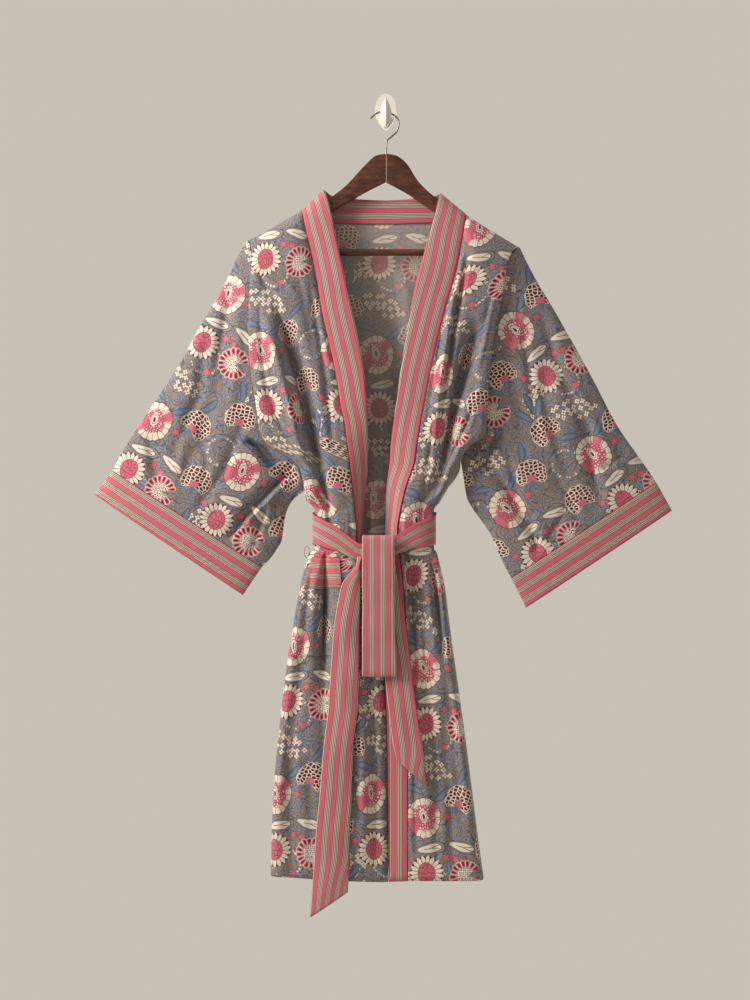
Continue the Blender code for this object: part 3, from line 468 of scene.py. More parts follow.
def drawPointedFlowers(paint, cloth):
    flower = printBlocks["pointedFlower"]
    radius = flower["radius"] * mm
    away, angle = polar(paint, nearest(paint, cloth, flower["at"]))
    petal = petalPlace(angle, flower["petals"])
    edge = radius * 0.78 + petal * (radius * 0.22)
    dark = (1.0 - petal) * (radius * 0.10) + radius * 0.84
    paint.stamp((away - dark).under(0.0, edgeSoft), "maroon")
    paint.stamp((away - edge).under(0.0005, edgeSoft), "maroon")
    paint.stamp((away - edge).under(-0.0004, edgeSoft) * petal.over(0.14, 0.08), "cream")
    oval = paint.length(paint.vector("MULTIPLY", nearest(paint, cloth, flower["at"]), (1.12, 0.95, 1)))
    paint.stamp(oval.under(radius * 0.56, edgeSoft), "maroon")
    paint.stamp(oval.under(radius * 0.53, edgeSoft), "pink")
    veins = paint.cells(paint.vector("MULTIPLY", cloth, (1, 0.6, 1)), 210.0, 0.9, "DISTANCE_TO_EDGE")
    squiggle = veins.output("Distance").under(0.10, 0.06) * oval.under(radius * 0.50, edgeSoft)
    paint.stamp(squiggle, "deepPink")


def drawRoundFlowers(paint, cloth):
    flower = printBlocks["roundFlower"]
    radius = flower["radius"] * mm
    place = paint.vector("MULTIPLY", nearest(paint, cloth, flower["at"]), (1.04, 0.93, 1))
    away, angle = polar(paint, place)
    petal = petalPlace(angle, flower["petals"])
    outer = radius * 0.965 + petal * 0.0013
    paint.stamp((away - outer).under(0.0, edgeSoft), "maroon")
    body = (away - outer).under(-0.0011, edgeSoft)
    paint.stamp(body, "cream")
    spoke = petal.under(0.09, 0.08) * away.over(radius * 0.62, edgeSoft) * body
    paint.stamp(spoke, "brown")
    ragged = paint.noise(cloth, 150.0, 1.0).output("Fac") * (radius * 0.60) + radius * 0.31
    lobe = abs(abs(angle - 0.72) - 1.55).over(1.26, 0.06) * body
    inner = (away - ragged).under(0.0, edgeSoft).most(lobe * away.over(radius * 0.30, edgeSoft))
    paint.stamp(inner, "pink")
    curl = paint.cells(cloth, 230.0, 1.0, "DISTANCE_TO_EDGE").output("Distance")
    middle = away.under(radius * 0.64, edgeSoft)
    paint.stamp(curl.under(0.10, 0.07) * middle, "deepPink")
    paint.stamp(curl.over(0.30, 0.08) * middle * (1.0 - lobe), "cream")
    eye = paint.turned(paint.vector("ADD", place, (0.001, -0.003, 0)), math.radians(-18))
    eyeX, eyeY = paint.split(eye)
    oval = ((eyeX / 0.0056).math("POWER", 2.0) + (eyeY / 0.0110).math("POWER", 2.0)).math("SQRT")
    paint.stamp(oval.under(1.0, 0.06), "cream")
    paint.stamp(abs(oval - 0.72).under(0.06, 0.06), "slate")
    pupil = (eyeX / 0.0020).math("POWER", 2.0) + ((eyeY + 0.001) / 0.0046).math("POWER", 2.0)
    paint.stamp(pupil.under(1.0, 0.3), "maroon")


cottonWeave = dict(thread=0.0007, slubs=900.0, wrinkles=60.0, raised=0.00006, strength=0.5)


def weave(paint, cloth):
    x, y = paint.split(cloth)
    turn = 2 * math.pi / cottonWeave["thread"]
    threads = (x * turn).math("SINE") + (y * turn).math("SINE")
    slubs = paint.noise(paint.vector("MULTIPLY", cloth, (1, 0.25, 1)), cottonWeave["slubs"], 2.0)
    wrinkles = paint.noise(cloth, cottonWeave["wrinkles"], 3.0, 0.55)
    height = threads * 0.04 + slubs.output("Fac") * 0.5 + wrinkles.output("Fac") * 18.0
    return paint.node("ShaderNodeBump", {}, Strength=cottonWeave["strength"], Distance=cottonWeave["raised"],
                      Height=height)


printWear = dict(sway=0.004, washed=0.35, washedSize=38.0, mottle=0.16)  # unevenness of the hand print


def printedCotton(name, fade=0.0):
    paint = Paint(name)
    flat = paint.node("ShaderNodeUVMap", dict(uv_map="cloth"))
    sway = paint.vector("SUBTRACT", paint.noise(flat, 55.0, 1.0).output("Color"), (0.5, 0.5, 0.5))
    shift = (printWear["sway"], printWear["sway"], 0)
    cloth = paint.vector("ADD", flat, paint.vector("MULTIPLY", sway, shift))
    patches = paint.noise(cloth, printWear["washedSize"], 2.0).output("Fac").over(0.56, 0.25)
    paint.drawn = paint.mix(patches * printWear["washed"], inks["ground"], inks["shade"])
    for draw in (drawVines, drawLeaflets, drawSprays, drawLeaves, drawStars, drawPods, drawFans,
                 drawRingFlowers, drawPointedFlowers, drawRoundFlowers):
        draw(paint, cloth)
    if fade:
        paint.stamp(fade, "bare")
    mottle = printWear["mottle"]
    patchy = paint.noise(cloth, 420.0, 2.0).output("Fac") * mottle + (1.0 - mottle / 2)
    paint.stamp(1.0 - patchy, "black")
    return paint.send(Base_Color=paint.drawn, Roughness=0.86, Normal=weave(paint, cloth), Sheen_Weight=0.18,
                      Sheen_Roughness=0.5, Specular_IOR_Level=0.25)


# Shares of one stripe repeat: a pink half, then a cream half with fine lines, and dark edges between them.
stripes = dict(repeat=0.0178, edges=(0.02, 0.50), lines=(0.61, 0.76, 0.91), wobble=0.0006)


def stripedCotton(name, paintedShadeFactor=1.0):
    paint = Paint(name)
    cloth = paint.node("ShaderNodeUVMap", dict(uv_map="cloth"))
    across = paint.split(cloth)[1]
    wobble = paint.noise(cloth, 30.0, 1.0).output("Fac") * stripes["wobble"]
    place = ((across + wobble) / stripes["repeat"] + 50.0).math("FRACT")
    first, second = stripes["edges"]
    paint.drawn = paint.mix(place.under(second, 0.02), inks["stripeCream"], inks["stripePink"])
    for edge in (first, second):
        paint.stamp(abs(place - edge).under(0.026, 0.015), "stripeDark")
    paint.stamp(abs(place - stripes["lines"][1]).under(0.11, 0.05) * 0.35, "stripeTaupe")
    for line in stripes["lines"]:
        paint.stamp(abs(place - line).under(0.032, 0.02) * 0.95, "stripeLine")
    # A factor below 1 darkens the whole stripe evenly: painted shade, used for the insides of bands and
    # cuffs.
    patchy = paint.noise(cloth, 380.0, 2.0).output("Fac") * 0.18 + (0.91 * paintedShadeFactor)
    paint.stamp(1.0 - patchy, "black")
    return paint.send(Base_Color=paint.drawn, Roughness=0.84, Normal=weave(paint, cloth), Sheen_Weight=0.15,
                      Sheen_Roughness=0.5, Specular_IOR_Level=0.25)


def darkWood():
    paint = Paint("dark_wood")
    place = paint.node("ShaderNodeTexCoord", {}).output("Object")
    long = paint.vector("MULTIPLY", place, (9, 40, 26))
    rings = paint.noise(long, 6.0, 5.0, 0.6).output("Fac")
    fine = paint.noise(paint.vector("MULTIPLY", place, (14, 90, 90)), 22.0, 3.0).output("Fac")
    grain = paint.node("ShaderNodeValToRGB", dict(ramp=((0.30, tone(48, 22, 12)), (0.5, tone(86, 42, 21)),
                                                        (0.72, tone(116, 62, 31)))), rings)
    drawn = paint.mix(fine.over(0.60, 0.12) * 0.45, grain, tone(36, 16, 9))
    bump = paint.node("ShaderNodeBump", {}, Strength=0.25, Distance=0.0003, Height=fine + rings)
    return paint.send(Base_Color=drawn, Roughness=rings * 0.22 + 0.26, Normal=bump, Coat_Weight=0.35,
                      Coat_Roughness=0.22)


def drawnSteel():
    paint = Paint("steel_wire")
    place = paint.node("ShaderNodeTexCoord", {}).output("Object")
    streak = paint.noise(paint.vector("MULTIPLY", place, (1, 1, 0.3)), 900.0, 2.0).output("Fac")
    drawn = paint.mix(streak, tone(126, 120, 108), tone(176, 170, 158))
    return paint.send(Base_Color=drawn, Metallic=1.0, Roughness=streak * 0.2 + 0.22)


def hookPlastic():
    paint = Paint("white_plastic")
    place = paint.node("ShaderNodeTexCoord", {}).output("Object")
    mottle = paint.noise(place, 70.0, 3.0).output("Fac")
    drawn = paint.mix(mottle * 0.5, tone(243, 238, 226), tone(228, 220, 204))
    bump = paint.node("ShaderNodeBump", {}, Strength=0.08, Distance=0.0003, Height=paint.noise(place, 500.0))
    return paint.send(Base_Color=drawn, Roughness=mottle * 0.1 + 0.22, Normal=bump, Coat_Weight=0.3)


# The inside copy of the stripe is darkened all over: painted shade for the insides of bands and cuffs.
finishes = dict(
    print=printedCotton("printed_cotton"), printInside=printedCotton("printed_cotton_inside", fade=0.30),
    stripe=stripedCotton("striped_cotton"), stripeInside=stripedCotton("striped_cotton_inside", paintedShadeFactor=0.88),
    wood=darkWood(), steel=drawnSteel(), plastic=hookPlastic())

# Shape
print("stage: shape")
walls = dict(cloth=0.0012, band=0.0018, sash=0.0015)  # bands, cuffs and trim are doubled cloth
sewing = dict(gap=0.0003, turn=0.0010)  # turn is extra at a seam whose cloth turns a corner
hanger = dict(y=-0.032, thick=0.014, wire=0.0015, round=0.003)  # y is its plane, in front of the wall
# How far a sleeve stands before and behind the hanger, the open cuff, and the step at the armhole seam.
sleeve = dict(front=0.027, back=0.020, cuffHalf=0.014, cuffY=-0.046, step=0.0020)
waist = dict(x=-0.019, y=-0.047, z=-0.685, half=(0.0969, 0.0269), power=3.0)
sash = dict(half=(0.0995, 0.0295), backZ=-0.6845, backHalf=0.0265)
foldNames = "x1 z1 x2 z2 x3 z3 width depth"  # the columns of every table of folds and creases

# Armholes run from the shoulder tip to the underarm. The viewer's right one bows inwards.
armholeEnds = {
    "left": dict(top=(-0.2236, -0.2138), low=(-0.1328, -0.6221), bow=0.0, inward=1),
    "right": dict(top=(0.2179, -0.2260), low=(0.1231, -0.5767), bow=-0.0225, inward=-1),
}

# Front sections from the shoulder seam to the hem. innerZ is the height at the band seam,
# outerZ at the side. ridgeX is the outermost fold of the front, which overhangs the armhole.
frontRows = {
    "left": rowsOf(
        "innerZ outerZ ridgeX bandX bandY frontY",
        (-166.9, -212.2, -217.6, -137.7, -32.7, -32.7),
        (-167.8, -213.2, -216.6, -137.7, -38.2, -38.2),
        (-173.3, -218.7, -216.5, -136.4, -42.8, -46.5),
        (-187.9, -233.3, -216.5, -133.5, -46.5, -55.5),
        (-226.8, -264.1, -218, -124.7, -51, -63),
        (-272.2, -306.2, -221, -115, -55, -66),
        (-328.9, -358, -221, -105.3, -60, -71),
        (-383.9, -403.4, -219.5, -93.2, -64, -74),
        (-437.4, -450.4, -213.8, -81.5, -68, -77),
        (-482.8, -492.5, -207.4, -74.5, -71, -79),
        (-520, -524.9, -202.5, -67.1, -73, -80),
        (-541.1, -542.7, -193.5, -64.8, -74, -80),
        (-555.7, -555.7, -176.6, -62.7, -74, -79),
        (-570.2, -570.2, -153.9, -60.8, -74, -78),
        (-589.7, -589.7, -137.5, -58.8, -73, -77),
        (-622.1, -622.1, -131, -55.1, -71.5, -75.5),
        (-659.3, -659.3, -118.3, -51, -70, -74.5),
        (-686.9, -686.9, -115.2, -48.6, -69, -74.5),
        (-712, -712, -117.5, -48.6, -69, -74.5),
        (-731.4, -731.4, -126, -43, -68, -75.5),
        (-781.7, -781.7, -139.3, -27, -68, -79),
        (-832.7, -832.7, -148.2, -14, -68.5, -82),
        (-889.4, -889.4, -157.5, -6, -70, -85),
        (-978.5, -978.5, -168.5, -1, -73, -88),
        (-1075.7, -1075.7, -178.2, 1, -74.5, -91),
        (-1172.9, -1170, -183.1, 2.5, -75.5, -93),
        (-1253.9, -1242.5, -184.7, 3.5, -76, -94)),
    "right": rowsOf(
        "innerZ outerZ ridgeX bandX bandY frontY",
        (-173.3, -225.4, 211.9, 131.2, -32.7, -32.7),
        (-174.3, -226.4, 211.9, 131.2, -38.2, -38.2),
        (-179.8, -229.6, 207.5, 130.4, -42.8, -46.5),
        (-194.4, -242, 199.5, 128, -46.5, -55.5),
        (-233.3, -272, 193.5, 121.5, -51, -63),
        (-272.2, -307.8, 187.5, 113.4, -55, -66),
        (-328.9, -358, 177.5, 97.2, -60, -71),
        (-383.9, -401.8, 170.5, 83.4, -64, -74),
        (-437.4, -448.7, 165.6, 71.3, -68, -77),
        (-482.8, -490.9, 163, 63.2, -71, -79),
        (-515.2, -520, 161.2, 56.7, -73, -80),
        (-531.4, -533, 158.8, 54.3, -74, -80),
        (-544.3, -544.3, 144, 51.8, -74, -79),
        (-557.3, -557.3, 129, 50.2, -74, -78),
        (-576.7, -576.7, 119.5, 47.8, -73, -77),
        (-622.1, -622.1, 98, 32.8, -71.5, -75.5),
        (-659.3, -659.3, 79, 25, -70, -74.5),
        (-686.9, -686.9, 77.2, 21.1, -69, -74.5),
        (-712, -712, 78.6, 22.7, -69, -74.5),
        (-731.4, -731.4, 83.5, 24.5, -71, -75.5),
        (-781.7, -781.7, 94.8, 29.2, -75, -79),
        (-832.7, -832.7, 101.2, 32.4, -78, -82),
        (-889.4, -889.4, 109, 34, -80, -85),
        (-978.5, -978.5, 121.5, 35.6, -83, -88),
        (-1075.7, -1075.7, 134.5, 35.6, -85, -91),
        (-1172.9, -1172.9, 146.6, 35.6, -87, -93),
        (-1249.8, -1249, 157.1, 35.6, -88, -94)),
}
lastFrontRow = len(frontRows["left"]["innerZ"]) - 1
sideSeam = rowsOf("z sideY", (-560, -32), (-622, -33), (-686, -46), (-900, -45), (-1260, -43))

# Free edge of each front band, row for row with the front it is sewn to.
bandEdge = {
    "left": rowsOf(
        "edgeX edgeY edgeZ",
        (-102.1, -32.7, -131.2), (-100.5, -38, -133.5), (-97.5, -43, -141), (-92, -46.5, -158),
        (-80.5, -52, -214), (-69.5, -57, -264), (-57, -61, -323), (-44.5, -65, -379),
        (-35, -69, -434), (-31, -70, -480), (-29.5, -68, -518), (-29.5, -66, -540),
        (-29.6, -64, -555), (-29.8, -62, -570), (-30, -58, -590), (-34.5, -50, -622),
        (-37, -42, -659), (-39, -38, -687), (-41, -39, -712), (-20, -50, -731.4),
        (-1, -57, -781.7), (15, -60, -833), (25, -63, -889.4), (31, -66.5, -978.5),
        (33, -68, -1075.7), (34.5, -69, -1173), (35.5, -69.5, -1254)),
    "right": rowsOf(
        "edgeX edgeY edgeZ",
        (89.1, -32.7, -137.7), (88, -38, -139.5), (86, -43, -146), (82, -46.5, -163),
        (64, -52, -229), (54, -57, -266), (40.5, -61, -325), (31.5, -65, -380),
        (22.5, -69, -436), (16.5, -70, -482), (11.5, -68, -516), (9.5, -66, -532),
        (8.5, -64, -545), (7.5, -62, -557), (6.3, -58, -577), (1, -50, -622),
        (0, -42, -659), (-1, -38, -687), (-1.4, -39, -712), (-1, -50, -731.4),
        (0.6, -67, -781.7), (3.2, -74, -833), (4, -78, -889.4), (5, -81, -978.5),
        (6, -83.5, -1075.7), (6.5, -85, -1173), (7, -86, -1249)),
}

# Large folds. Each runs down from (x1, z1) by (x2, z2) to (x3, z3). A depth above 0 is a trough.
frontFolds = {
    "left": rowsOf(
        foldNames,
        (-166, -330, -134, -452, -108, -590, 13, 24),
        (-108, -590, -92, -668, -97, -720, 10, 12),
        (-97, -720, -99, -833, -106, -1010, 13, 9),
        (-212, -262, -198, -292, -183, -330, 7, 3),
        (-150, -240, -124, -330, -108, -450, 12, 5),
        (-127, -700, -133, -830, -148, -1120, 12, 7),
        (-86, -760, -96, -900, -108, -1200, 9, 3.5),
        (-160, -1010, -154, -1120, -150, -1260, 13, 9)),
    "right": rowsOf(
        foldNames,
        (146, -346, 128, -430, 90, -585, 13, 24),
        (118, -235, 92, -340, 60, -540, 8, 8),
        (90, -585, 62, -640, 52, -715, 10, 10),
        (72, -706, 77, -760, 83, -850, 8, 12),
        (48, -716, 46, -780, 52, -900, 8, 12),
        (60, -880, 72, -1010, 88, -1220, 12, 10),
        (96, -900, 108, -1020, 124, -1200, 11, 7),
        (180, -300, 160, -400, 136, -480, 10, 6)),
}

backRows = rowsOf(
    "z backY gather",
    (-184, -15, 0), (-185.2, -15, 0), (-189, -15, 0), (-199, -14.5, 0),
    (-222, -14, 0), (-262, -13, 1), (-312, -12.5, 2), (-362, -12, 3),
    (-412, -12, 3), (-462, -12, 3), (-512, -12, 4), (-545, -12.5, 5),
    (-576.7, -14, 5.5), (-622.1, -17, 6.5), (-659.3, -19.5, 7), (-686.9, -19.5, 7),
    (-712, -19.5, 7), (-731.4, -18.5, 7.5), (-781.7, -16, 8), (-832.7, -14, 9),
    (-889.4, -12, 10), (-978.5, -10, 10), (-1075.7, -9, 10), (-1172.9, -8, 10),
    (-1247, -8, 10))
backGathers = 5
neckRows = rowsOf(
    "x z backY",
    (-138, -167.4, -31.3), (-132.5, -167.8, -23.2), (-124, -175, -18.5), (-111, -182, -16.5),
    (-89, -184.6, -15.2), (-3, -186, -15), (78, -184, -15.2), (104, -182.5, -16.5),
    (117, -179, -18.5), (126.5, -174.2, -23.2), (132, -174, -31.3))
neckBase = -0.184
shoulderFade = -0.420

# Neck band, from shoulder to shoulder: its sewn edge and its free edge.
neckBandRows = rowsOf(
    "sewnX sewnY sewnZ freeX freeY freeZ",
    (-136.5, -31.2, -165.2, -102.1, -31.2, -131.2), (-134.5, -26.5, -164.2, -99, -26.5, -132.5),
    (-127, -21.8, -169, -94, -21.5, -136.5), (-111, -19, -180, -86, -20, -140.5),
    (-89, -17.6, -184.5, -68, -19.5, -144), (-45, -17.2, -185.8, -36, -19, -146),
    (-3, -17.2, -186.4, -3, -19, -147.4), (40, -17.2, -185.3, 32, -19, -146),
    (78, -17.6, -184, 60, -19.5, -144), (103, -19, -181, 77, -20, -141.5),
    (119.5, -21.8, -175, 84, -21.5, -139.5), (127.5, -26.5, -170.6, 87, -26.5, -138.3),
    (130, -31.2, -171.6, 89.1, -31.2, -137.7))

# Sleeves from armhole to cuff: top fold and lower edge.
sleeveRows = {
    "left": rowsOf(
        "topX topZ lowX lowZ",
        (-223.6, -213.8, -132.8, -622.1), (-232.5, -225.5, -138.5, -626.5), (-243.5, -245, -147, -632.5),
        (-252.7, -265.7, -154.5, -641), (-274.3, -308.6, -163.6, -660.2), (-300.3, -351.5, -167.5, -682),
        (-330.8, -408.2, -170.1, -703.1), (-361.3, -456.2, -178, -718), (-395.9, -508.7, -187, -731),
        (-426.1, -555.7, -196, -741), (-443.9, -590.7, -202.5, -746.8)),
    "right": rowsOf(
        "topX topZ lowX lowZ",
        (217.9, -226, 123.1, -576.7), (223, -236, 125.5, -590), (231, -253, 128, -605.9),
        (246.2, -281.9, 130, -620), (268, -319, 133, -635.5), (289.5, -356.4, 142, -652),
        (332.7, -434.2, 157, -673), (375.8, -516.8, 172, -696), (405, -560, 183, -722),
        (426, -590, 194, -746), (439, -610.1, 204.1, -764.6)),
}
sleeveDepth = rowsOf(
    "middleY front back",
    (-32, 27, 20), (-32, 26, 20), (-32.5, 25, 19.5), (-33, 24, 19), (-35, 22, 19), (-37, 21, 18),
    (-39, 20, 17), (-41, 19, 16), (-43, 17, 15), (-44, 15.5, 14.5), (-45, 14, 14))
sleeveFolds = {
    "left": rowsOf(
        foldNames,
        (-150, -580, -220, -650, -282, -735, 11, 8),
        (-196, -560, -164, -590, -138, -612, 12, 7),
        (-262, -320, -266, -420, -300, -560, 15, 5),
        (-300, -420, -300, -540, -345, -640, 14, 4),
        (-372, -520, -370, -610, -385, -665, 12, 4)),
    "right": rowsOf(
        foldNames,
        (150, -560, 205, -640, 262, -740, 11, 7),
        (205, -330, 205, -440, 232, -560, 14, 5),
        (262, -360, 258, -480, 300, -640, 15, 6),
        (330, -470, 322, -560, 352, -690, 13, 5)),
}
cuffEnd = {
    "left": dict(top=(-0.4732, -0.6299), low=(-0.2333, -0.7922)),
    "right": dict(top=(0.4643, -0.6556), low=(0.2284, -0.8128)),
}

# Sash round the waist: height of its middle and half its width, from side to side of the front.
sashFront = rowsOf(
    "x z half",
    (-118.5, -684.5, 23.7), (-80, -701, 20), (-44, -722, 14), (-16, -723, 13),
    (12.6, -712, 14.6), (45, -697, 20), (80.5, -686, 24.8))

# Hanging ends: edges of the sash and how far each stands in front of the robe.
tailLong = rowsOf(
    "z leftX rightX off",
    (-729, -46, -36, 2.9), (-744, -49, -41.5, 4), (-757, -59, -40.5, 4), (-774, -71, -40.8, 4),
    (-805, -78.2, -41.5, 4.5), (-855, -85.1, -42.3, 4.5), (-905, -89, -43.2, 4),
    (-962, -92.3, -44.2, 4), (-1008, -97.7, -50.2, 5), (-1060, -102, -53, 4.5),
    (-1120, -107.5, -55.7, 4), (-1181, -113.4, -58.6, 4), (-1235, -118, -60, 4),
    (-1287, -121.5, -61.5, 4))
tailShort = rowsOf(
    "z leftX rightX off",
    (-744, -20, 14, 3.5), (-770, -19, 19, 3.5), (-805, -16, 25.5, 3.5),
    (-844, -13, 32.4, 3.5), (-900, -5, 39, 3.5), (-941, 0, 44.5, 3.5),
    (-985, 5, 51, 4), (-1030, 11, 58.5, 4), (-1076, 16, 65.8, 4))
# The folded loop: up over the knot, down the front, round the fold and up behind.
sashLoop = rowsOf(
    "z leftX rightX off",
    (-702, -36, 11, 3.9), (-695.5, -37.5, 12, 10.5), (-700, -38.9, 13, 18),
    (-716, -38.9, 13, 20.5), (-750, -38.9, 13.5, 20), (-810, -38.2, 14, 17),
    (-870, -38.6, 15.5, 17.5), (-906, -38.9, 17, 16.5), (-919, -38.9, 17.8, 13.5),
    (-921, -38.9, 17.8, 10.5), (-912, -38, 17.5, 8), (-870, -36, 15, 6.7),
    (-800, -34, 13, 6.7), (-752, -32, 11, 7.2), (-740.1, -30, 9, 7.8))

# Half outlines of the hanger in the plane of the wall, clockwise from the joint line.
woodOutline = {
    "left": (
        (-0.15, -73.7), (-14, -75.8), (-23, -81), (-34.5, -92.5), (-50.2, -109.4), (-64.3, -124.7),
        (-81, -138.2), (-97, -150), (-115, -162.6), (-137.7, -170.3), (-180, -192.5), (-208, -208.5),
        (-213, -213.4), (-214, -226), (-211, -238), (-203, -246), (-195, -248), (-187.5, -243),
        (-187.5, -223), (-170, -212), (-130, -190), (-89, -167), (-65.6, -154.5), (-29.5, -135.1),
        (-0.15, -120.5)),
    "right": (
        (0.15, -120.5), (35.2, -139.5), (61, -156), (79, -168), (125, -197), (165, -219), (183.5, -225),
        (183.5, -247), (190, -252), (199, -251), (206, -245), (209, -236), (208, -228), (203, -221.8),
        (176.6, -204.4), (131.2, -176.2), (110, -163.6), (90, -150.5), (73.9, -139.3), (58.3, -125),
        (48.1, -111.8), (35.2, -91.2), (22.2, -79.4), (12, -75.2), (0.15, -73.7)),
}
wireRoute = ((-25.3, -15.7), (-18, -9), (-10.4, -4.9), (-2, -3.8), (7.3, -6.6), (14, -10.6), (18.5, -14.6),
              (21.1, -21.7), (20.6, -29.5), (17.5, -37.3), (10, -44.5), (3.4, -50), (1.0, -56), (0.6, -74.3))
# Creases, finer than the solids' folds, in the same columns. A depth below 0 is a ridge.
frontCreases = {
    "left": rowsOf(
        foldNames,
        (-216, -258, -191, -294, -165, -330, 5, 6), (-203, -246, -176, -268, -150, -300, 6, -2),
        (-182, -312, -140, -462, -92, -660, 6, 20), (-198, -330, -162, -462, -126, -600, 9, -10),
        (-207, -300, -201, -400, -190, -505, 5, 4), (-213, -330, -211, -420, -203, -510, 4, -2),
        (-124, -290, -101, -420, -84, -570, 6, 6), (-140, -250, -122, -330, -104, -420, 7, -3),
        (-196, -440, -176, -505, -142, -560, 6, 6), (-184, -470, -160, -530, -134, -575, 5, -3),
        (-166, -400, -150, -480, -136, -560, 4, 4), (-118, -500, -104, -580, -88, -655, 5, 6),
        (-99, -712, -100, -800, -104, -930, 6, 19), (-111, -716, -118, -800, -126, -900, 6, -3),
        (-139, -862, -162, -1058, -171, -1225, 9, 6), (-150, -880, -175, -1040, -180, -1180, 7, -3),
        (-122, -900, -140, -1010, -146, -1190, 7, -3), (-42, -930, -36, -1050, -38, -1235, 8, -4),
        (-24, -900, -20, -1060, -16, -1245, 7, 8), (-64, -860, -60, -1000, -58, -1150, 9, 6),
        (-82, -800, -86, -900, -92, -1010, 6, -3), (-128, -1040, -120, -1130, -118, -1245, 9, 4),
        (-172, -1080, -160, -1130, -130, -1160, 8, 3), (-60, -1120, -40, -1150, -12, -1160, 8, 3)),
    "right": rowsOf(
        foldNames,
        (206, -236, 162, -375, 110, -535, 9, -11), (140, -368, 116, -450, 84, -610, 6, 19),
        (129, -205, 101, -350, 72, -560, 6, -10), (139, -210, 112, -345, 82, -540, 5, 13),
        (190, -262, 176, -300, 160, -352, 6, 4), (176, -250, 160, -262, 138, -280, 6, 3),
        (168, -330, 150, -400, 128, -500, 6, 6), (158, -420, 146, -480, 128, -540, 5, -3),
        (150, -470, 120, -540, 88, -600, 5, 6), (106, -520, 88, -600, 72, -665, 5, 6),
        (92, -420, 76, -520, 60, -640, 4, 4), (80, -560, 68, -620, 58, -682, 5, -3),
        (79, -712, 85, -790, 93, -905, 5, 14),
        (31, -712, 34, -780, 40, -870, 7, 17), (58, -716, 58, -800, 66, -925, 5, 8),
        (40, -722, 42, -820, 48, -935, 4, 6), (68, -716, 72, -800, 80, -915, 5, -4),
        (118, -948, 128, -1060, 141, -1225, 8, -4), (88, -960, 98, -1080, 110, -1240, 8, 6),
        (56, -980, 66, -1080, 74, -1240, 7, -3), (100, -1090, 92, -1160, 88, -1240, 7, -3),
        (128, -1060, 110, -1100, 84, -1120, 8, 3), (48, -1020, 46, -1120, 50, -1235, 6, 4)),
}
sleeveCreases = {
    "left": rowsOf(
        foldNames,
        (-136, -566, -214, -652, -297, -752, 5, 13), (-150, -600, -220, -668, -286, -738, 6, -7),
        (-407, -531, -352, -556, -303, -588, 5, 6), (-311, -440, -291, -455, -268, -466, 5, 4),
        (-250, -262, -262, -350, -282, -440, 8, 6), (-286, -352, -306, -470, -350, -580, 9, 6),
        (-240, -300, -240, -400, -256, -520, 7, -3), (-340, -460, -330, -560, -346, -660, 8, -3),
        (-388, -522, -376, -600, -392, -660, 7, 6), (-200, -560, -172, -586, -146, -604, 7, 14),
        (-226, -541, -202, -554, -176, -590, 8, 36),
        (-226, -500, -262, -590, -330, -690, 8, 6), (-196, -640, -206, -690, -226, -740, 6, 6),
        (-262, -640, -296, -676, -330, -716, 6, 4), (-420, -560, -380, -586, -330, -606, 6, 4),
        (-180, -600, -190, -660, -214, -720, 5, -3), (-300, -520, -290, -580, -300, -640, 7, 4)),
    "right": rowsOf(
        foldNames,
        (232, -655, 245, -722, 270, -776, 5, 12), (246, -650, 262, -720, 286, -768, 6, -4),
        (196, -560, 216, -640, 236, -700, 6, 6), (150, -562, 190, -610, 226, -672, 5, 6),
        (214, -320, 232, -430, 250, -560, 7, 6), (250, -330, 290, -450, 344, -570, 9, 6),
        (232, -420, 256, -520, 300, -640, 7, -3), (300, -420, 340, -520, 392, -610, 8, -3),
        (330, -500, 334, -580, 356, -668, 7, 6), (390, -560, 350, -590, 300, -606, 6, 4),
        (186, -520, 170, -560, 150, -590, 6, 12),
        (134, -536, 150, -560, 166, -594, 8, 36), (270, -590, 300, -640, 326, -700, 6, 4),
        (226, -300, 218, -360, 200, -430, 6, -3), (300, -640, 270, -690, 240, -730, 6, 4)),
}
backCreases = rowsOf(
    foldNames,
    (-60, -230, -80, -360, -60, -540, 12, 4), (20, -220, 36, -330, 20, -520, 12, 4),
    (-150, -260, -90, -420, -50, -600, 12, 6), (150, -270, 90, -420, 30, -600, 12, 6),
    (-16, -240, -20, -400, -20, -620, 9, -3), (-110, -560, -84, -620, -66, -680, 8, 6),
    (90, -560, 60, -620, 34, -680, 8, 6), (-90, -720, -110, -860, -130, -1060, 10, 6),
    (60, -720, 84, -860, 104, -1060, 10, 6), (-40, -716, -60, -900, -70, -1180, 9, -4),
    (10, -716, 30, -900, 40, -1200, 9, -4), (-150, -960, -120, -1080, -120, -1230, 12, 4),
    (-20, -730, -16, -900, -12, -1220, 10, 6), (80, -980, 60, -1100, 66, -1240, 12, 4))
gathers = dict(count=9, width=0.0042, depth=0.0026, high=-0.590, low=-0.842, fanUp=0.30, fanDown=0.42)
crumpled = dict(broad=0.0024, fine=0.0011)
ripples = dict(sway=0.0013, depth=0.0022, puff=0.030)  # of the sash and its ends


def gatherDepth(x, z):  # small pleats that fan out above and below the sash
    if not gathers["low"] < z < gathers["high"]:
        return 0.0
    end, fan = ("high", "fanUp") if z > waist["z"] else ("low", "fanDown")
    part = (z - waist["z"]) / (gathers[end] - waist["z"])
    spread = 1 + gathers[fan] * part
    total = 0.0
    for number in range(gathers["count"]):
        place = (number + 0.5) / gathers["count"] * 2 - 1
        uneven = math.sin(7.3 * number) * 0.06
        middle = waist["x"] + waist["half"][0] * (place + uneven) * spread
        reach = (x - middle) / (gathers["width"] * (1 + 0.8 * part))
        total += math.exp(-reach * reach) * (0.7 + 0.3 * math.sin(5.1 * number))
    return gathers["depth"] * total * (1 - part) ** 0.7


def crumple(x, z, seed):  # soft unevenness of washed cotton, by its own seed for each piece
    first = noise.noise(Vector((x * 14 + seed, z * 9, seed)))
    second = noise.noise(Vector((x * 34, z * 26 + seed, seed + 5)))
    return crumpled["broad"] * first + crumpled["fine"] * second


